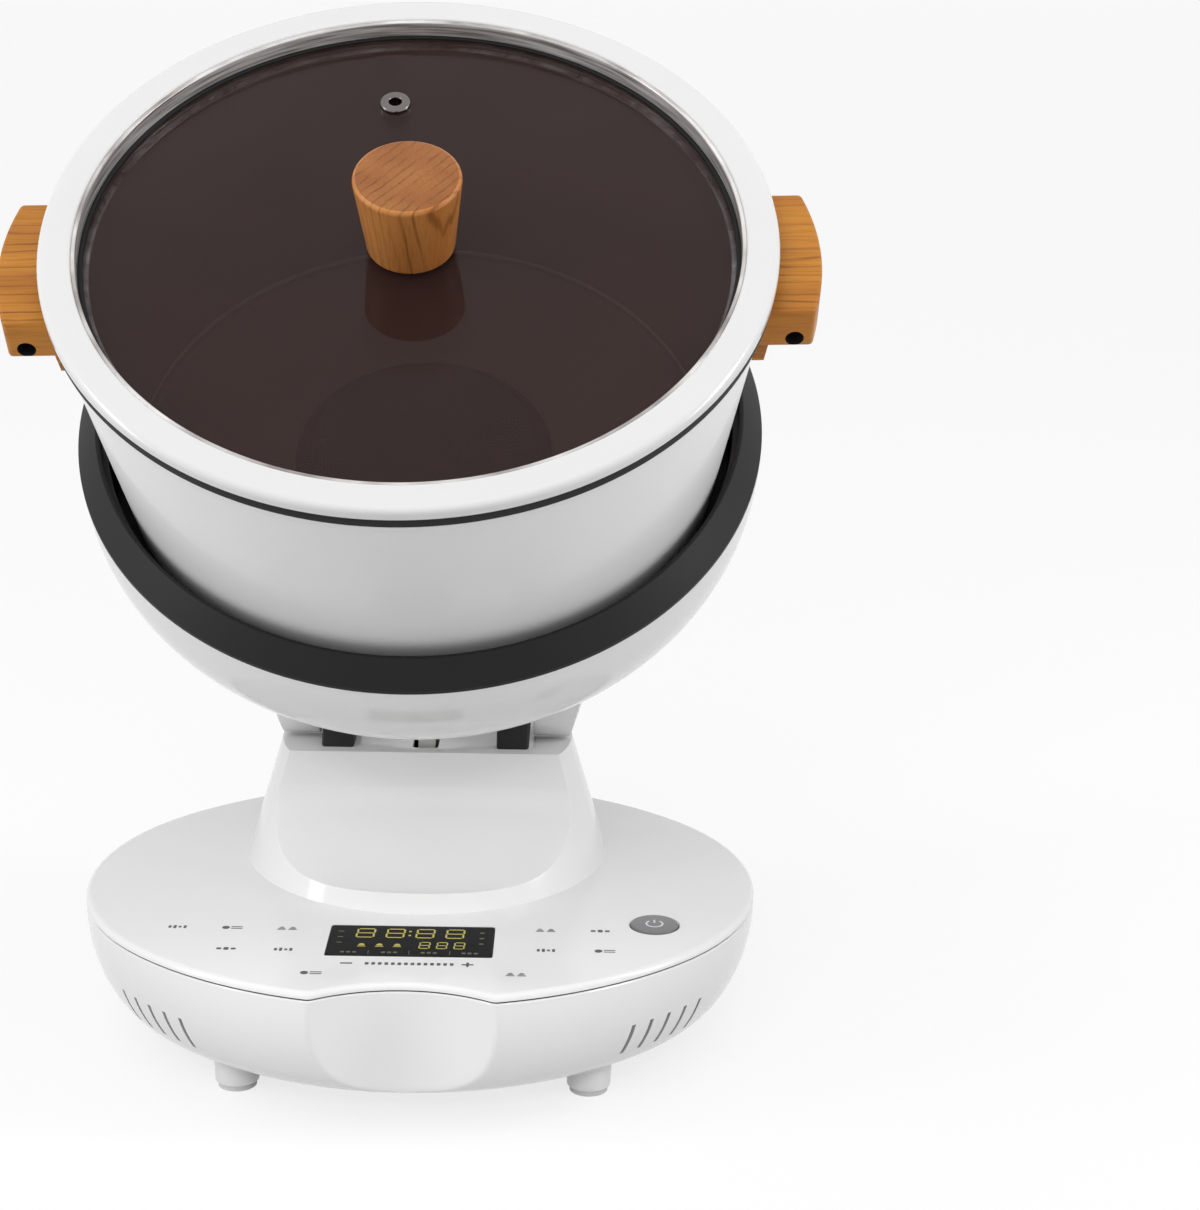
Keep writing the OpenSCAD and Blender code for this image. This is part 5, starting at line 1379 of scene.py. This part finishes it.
floor_half = 40.0
floor_corners = [(-floor_half, -floor_half, 0), (floor_half, -floor_half, 0),
                 (floor_half, floor_half, 0), (-floor_half, floor_half, 0)]
floor_mesh = bpy.data.meshes.new("floor")
floor_mesh.from_pydata(floor_corners, [], [(0, 1, 2, 3)])
floor = place_object("floor", floor_mesh)
floor_finish = Finish("pale_floor")
pale_floor = floor_finish.coat(
    Base_Color=seen_share(floor_finish, 0.5, 0.92),
    Roughness=floor_finish.noise(0.6, 2) * 0.1 + 0.6)
lit_share = floor_finish.node("ShaderNodeMixShader", {}, {
    "Fac": seen_share(floor_finish, 0, 0.75),
    1: Wire(floor_finish, floor_finish.shader.outputs["BSDF"]),
    2: floor_finish.node("ShaderNodeEmission")})
floor_finish.feed(floor_finish.tree.nodes["Material Output"].inputs["Surface"], lit_share)
floor_mesh.materials.append(pale_floor)


def soft_sun(name, toward, spread_angle, power):
    """A far lamp as broad as a studio ceiling, which lights the floor evenly and shows in no reflection."""
    light = bpy.data.lights.new(name, "SUN")
    light.angle = math.radians(spread_angle)
    light.energy = power
    lamp = place_object(name, light)
    lamp.rotation_euler = Vector(toward).to_track_quat("-Z", "Y").to_euler()
    lamp.visible_glossy = False


soft_sun("front_lamp", (0.2, 1, -0.65), 50, 0.78)
soft_sun("top_lamp", (0.15, 0.3, -1), 60, 0.78)


def soft_panel(name, place, aim, width, height, power, beam):
    """A lit panel whose reflection shows in gloss and steel, with its beam's angle in degrees."""
    light = bpy.data.lights.new(name, "AREA")
    light.shape = "RECTANGLE"
    light.size = width
    light.size_y = height
    light.energy = power
    light.spread = math.radians(beam)
    lamp = place_object(name, light)
    lamp.location = place
    lamp.rotation_euler = (Vector(aim) - Vector(place)).to_track_quat("-Z", "Y").to_euler()
    return lamp


soft_panel("left_panel", (-1.4, -0.5, 0.8), (0, 0, 0.3), 0.3, 1.4, 7.5, 180)
soft_panel("right_panel", (1.4, -0.3, 0.9), (0, 0, 0.3), 0.3, 1.4, 9, 180)
low_panel = soft_panel("low_panel", (0, -0.95, 0.62), (0, -0.1, 0.06), 0.25, 0.15, 0.04, 18)
low_panel.visible_glossy = False

studio = Finish("studio", bpy.data.worlds, "Background")
bpy.context.scene.world = studio.coat(Color=(1, 1, 1, 1), Strength=seen_share(studio, 0.39, 1))

view_elevation, view_azimuth, view_roll = math.radians(15.3), math.radians(-0.35), math.radians(0.99)
view_distance = 1.1
view_target = Vector((79.8 * mm, base_y, 205.5 * mm))
view_level = Vector((math.sin(view_azimuth), -math.cos(view_azimuth), 0)) * math.cos(view_elevation)
back = view_level + Vector((0, 0, math.sin(view_elevation)))
level = Vector((math.cos(view_azimuth), math.sin(view_azimuth), 0))
upright = back.cross(level)
right = level * math.cos(view_roll) + upright * math.sin(view_roll)
up = upright * math.cos(view_roll) - level * math.sin(view_roll)
camera_data = bpy.data.cameras.new("camera")
camera_data.sensor_width = 36
camera_data.lens = 73.0
placed = Matrix((right, up, back)).transposed().to_4x4()
placed.translation = view_target + back * view_distance
camera = place_object("camera", camera_data)
camera.matrix_world = placed
bpy.context.scene.camera = camera
bpy.context.scene.view_settings.view_transform = "Standard"
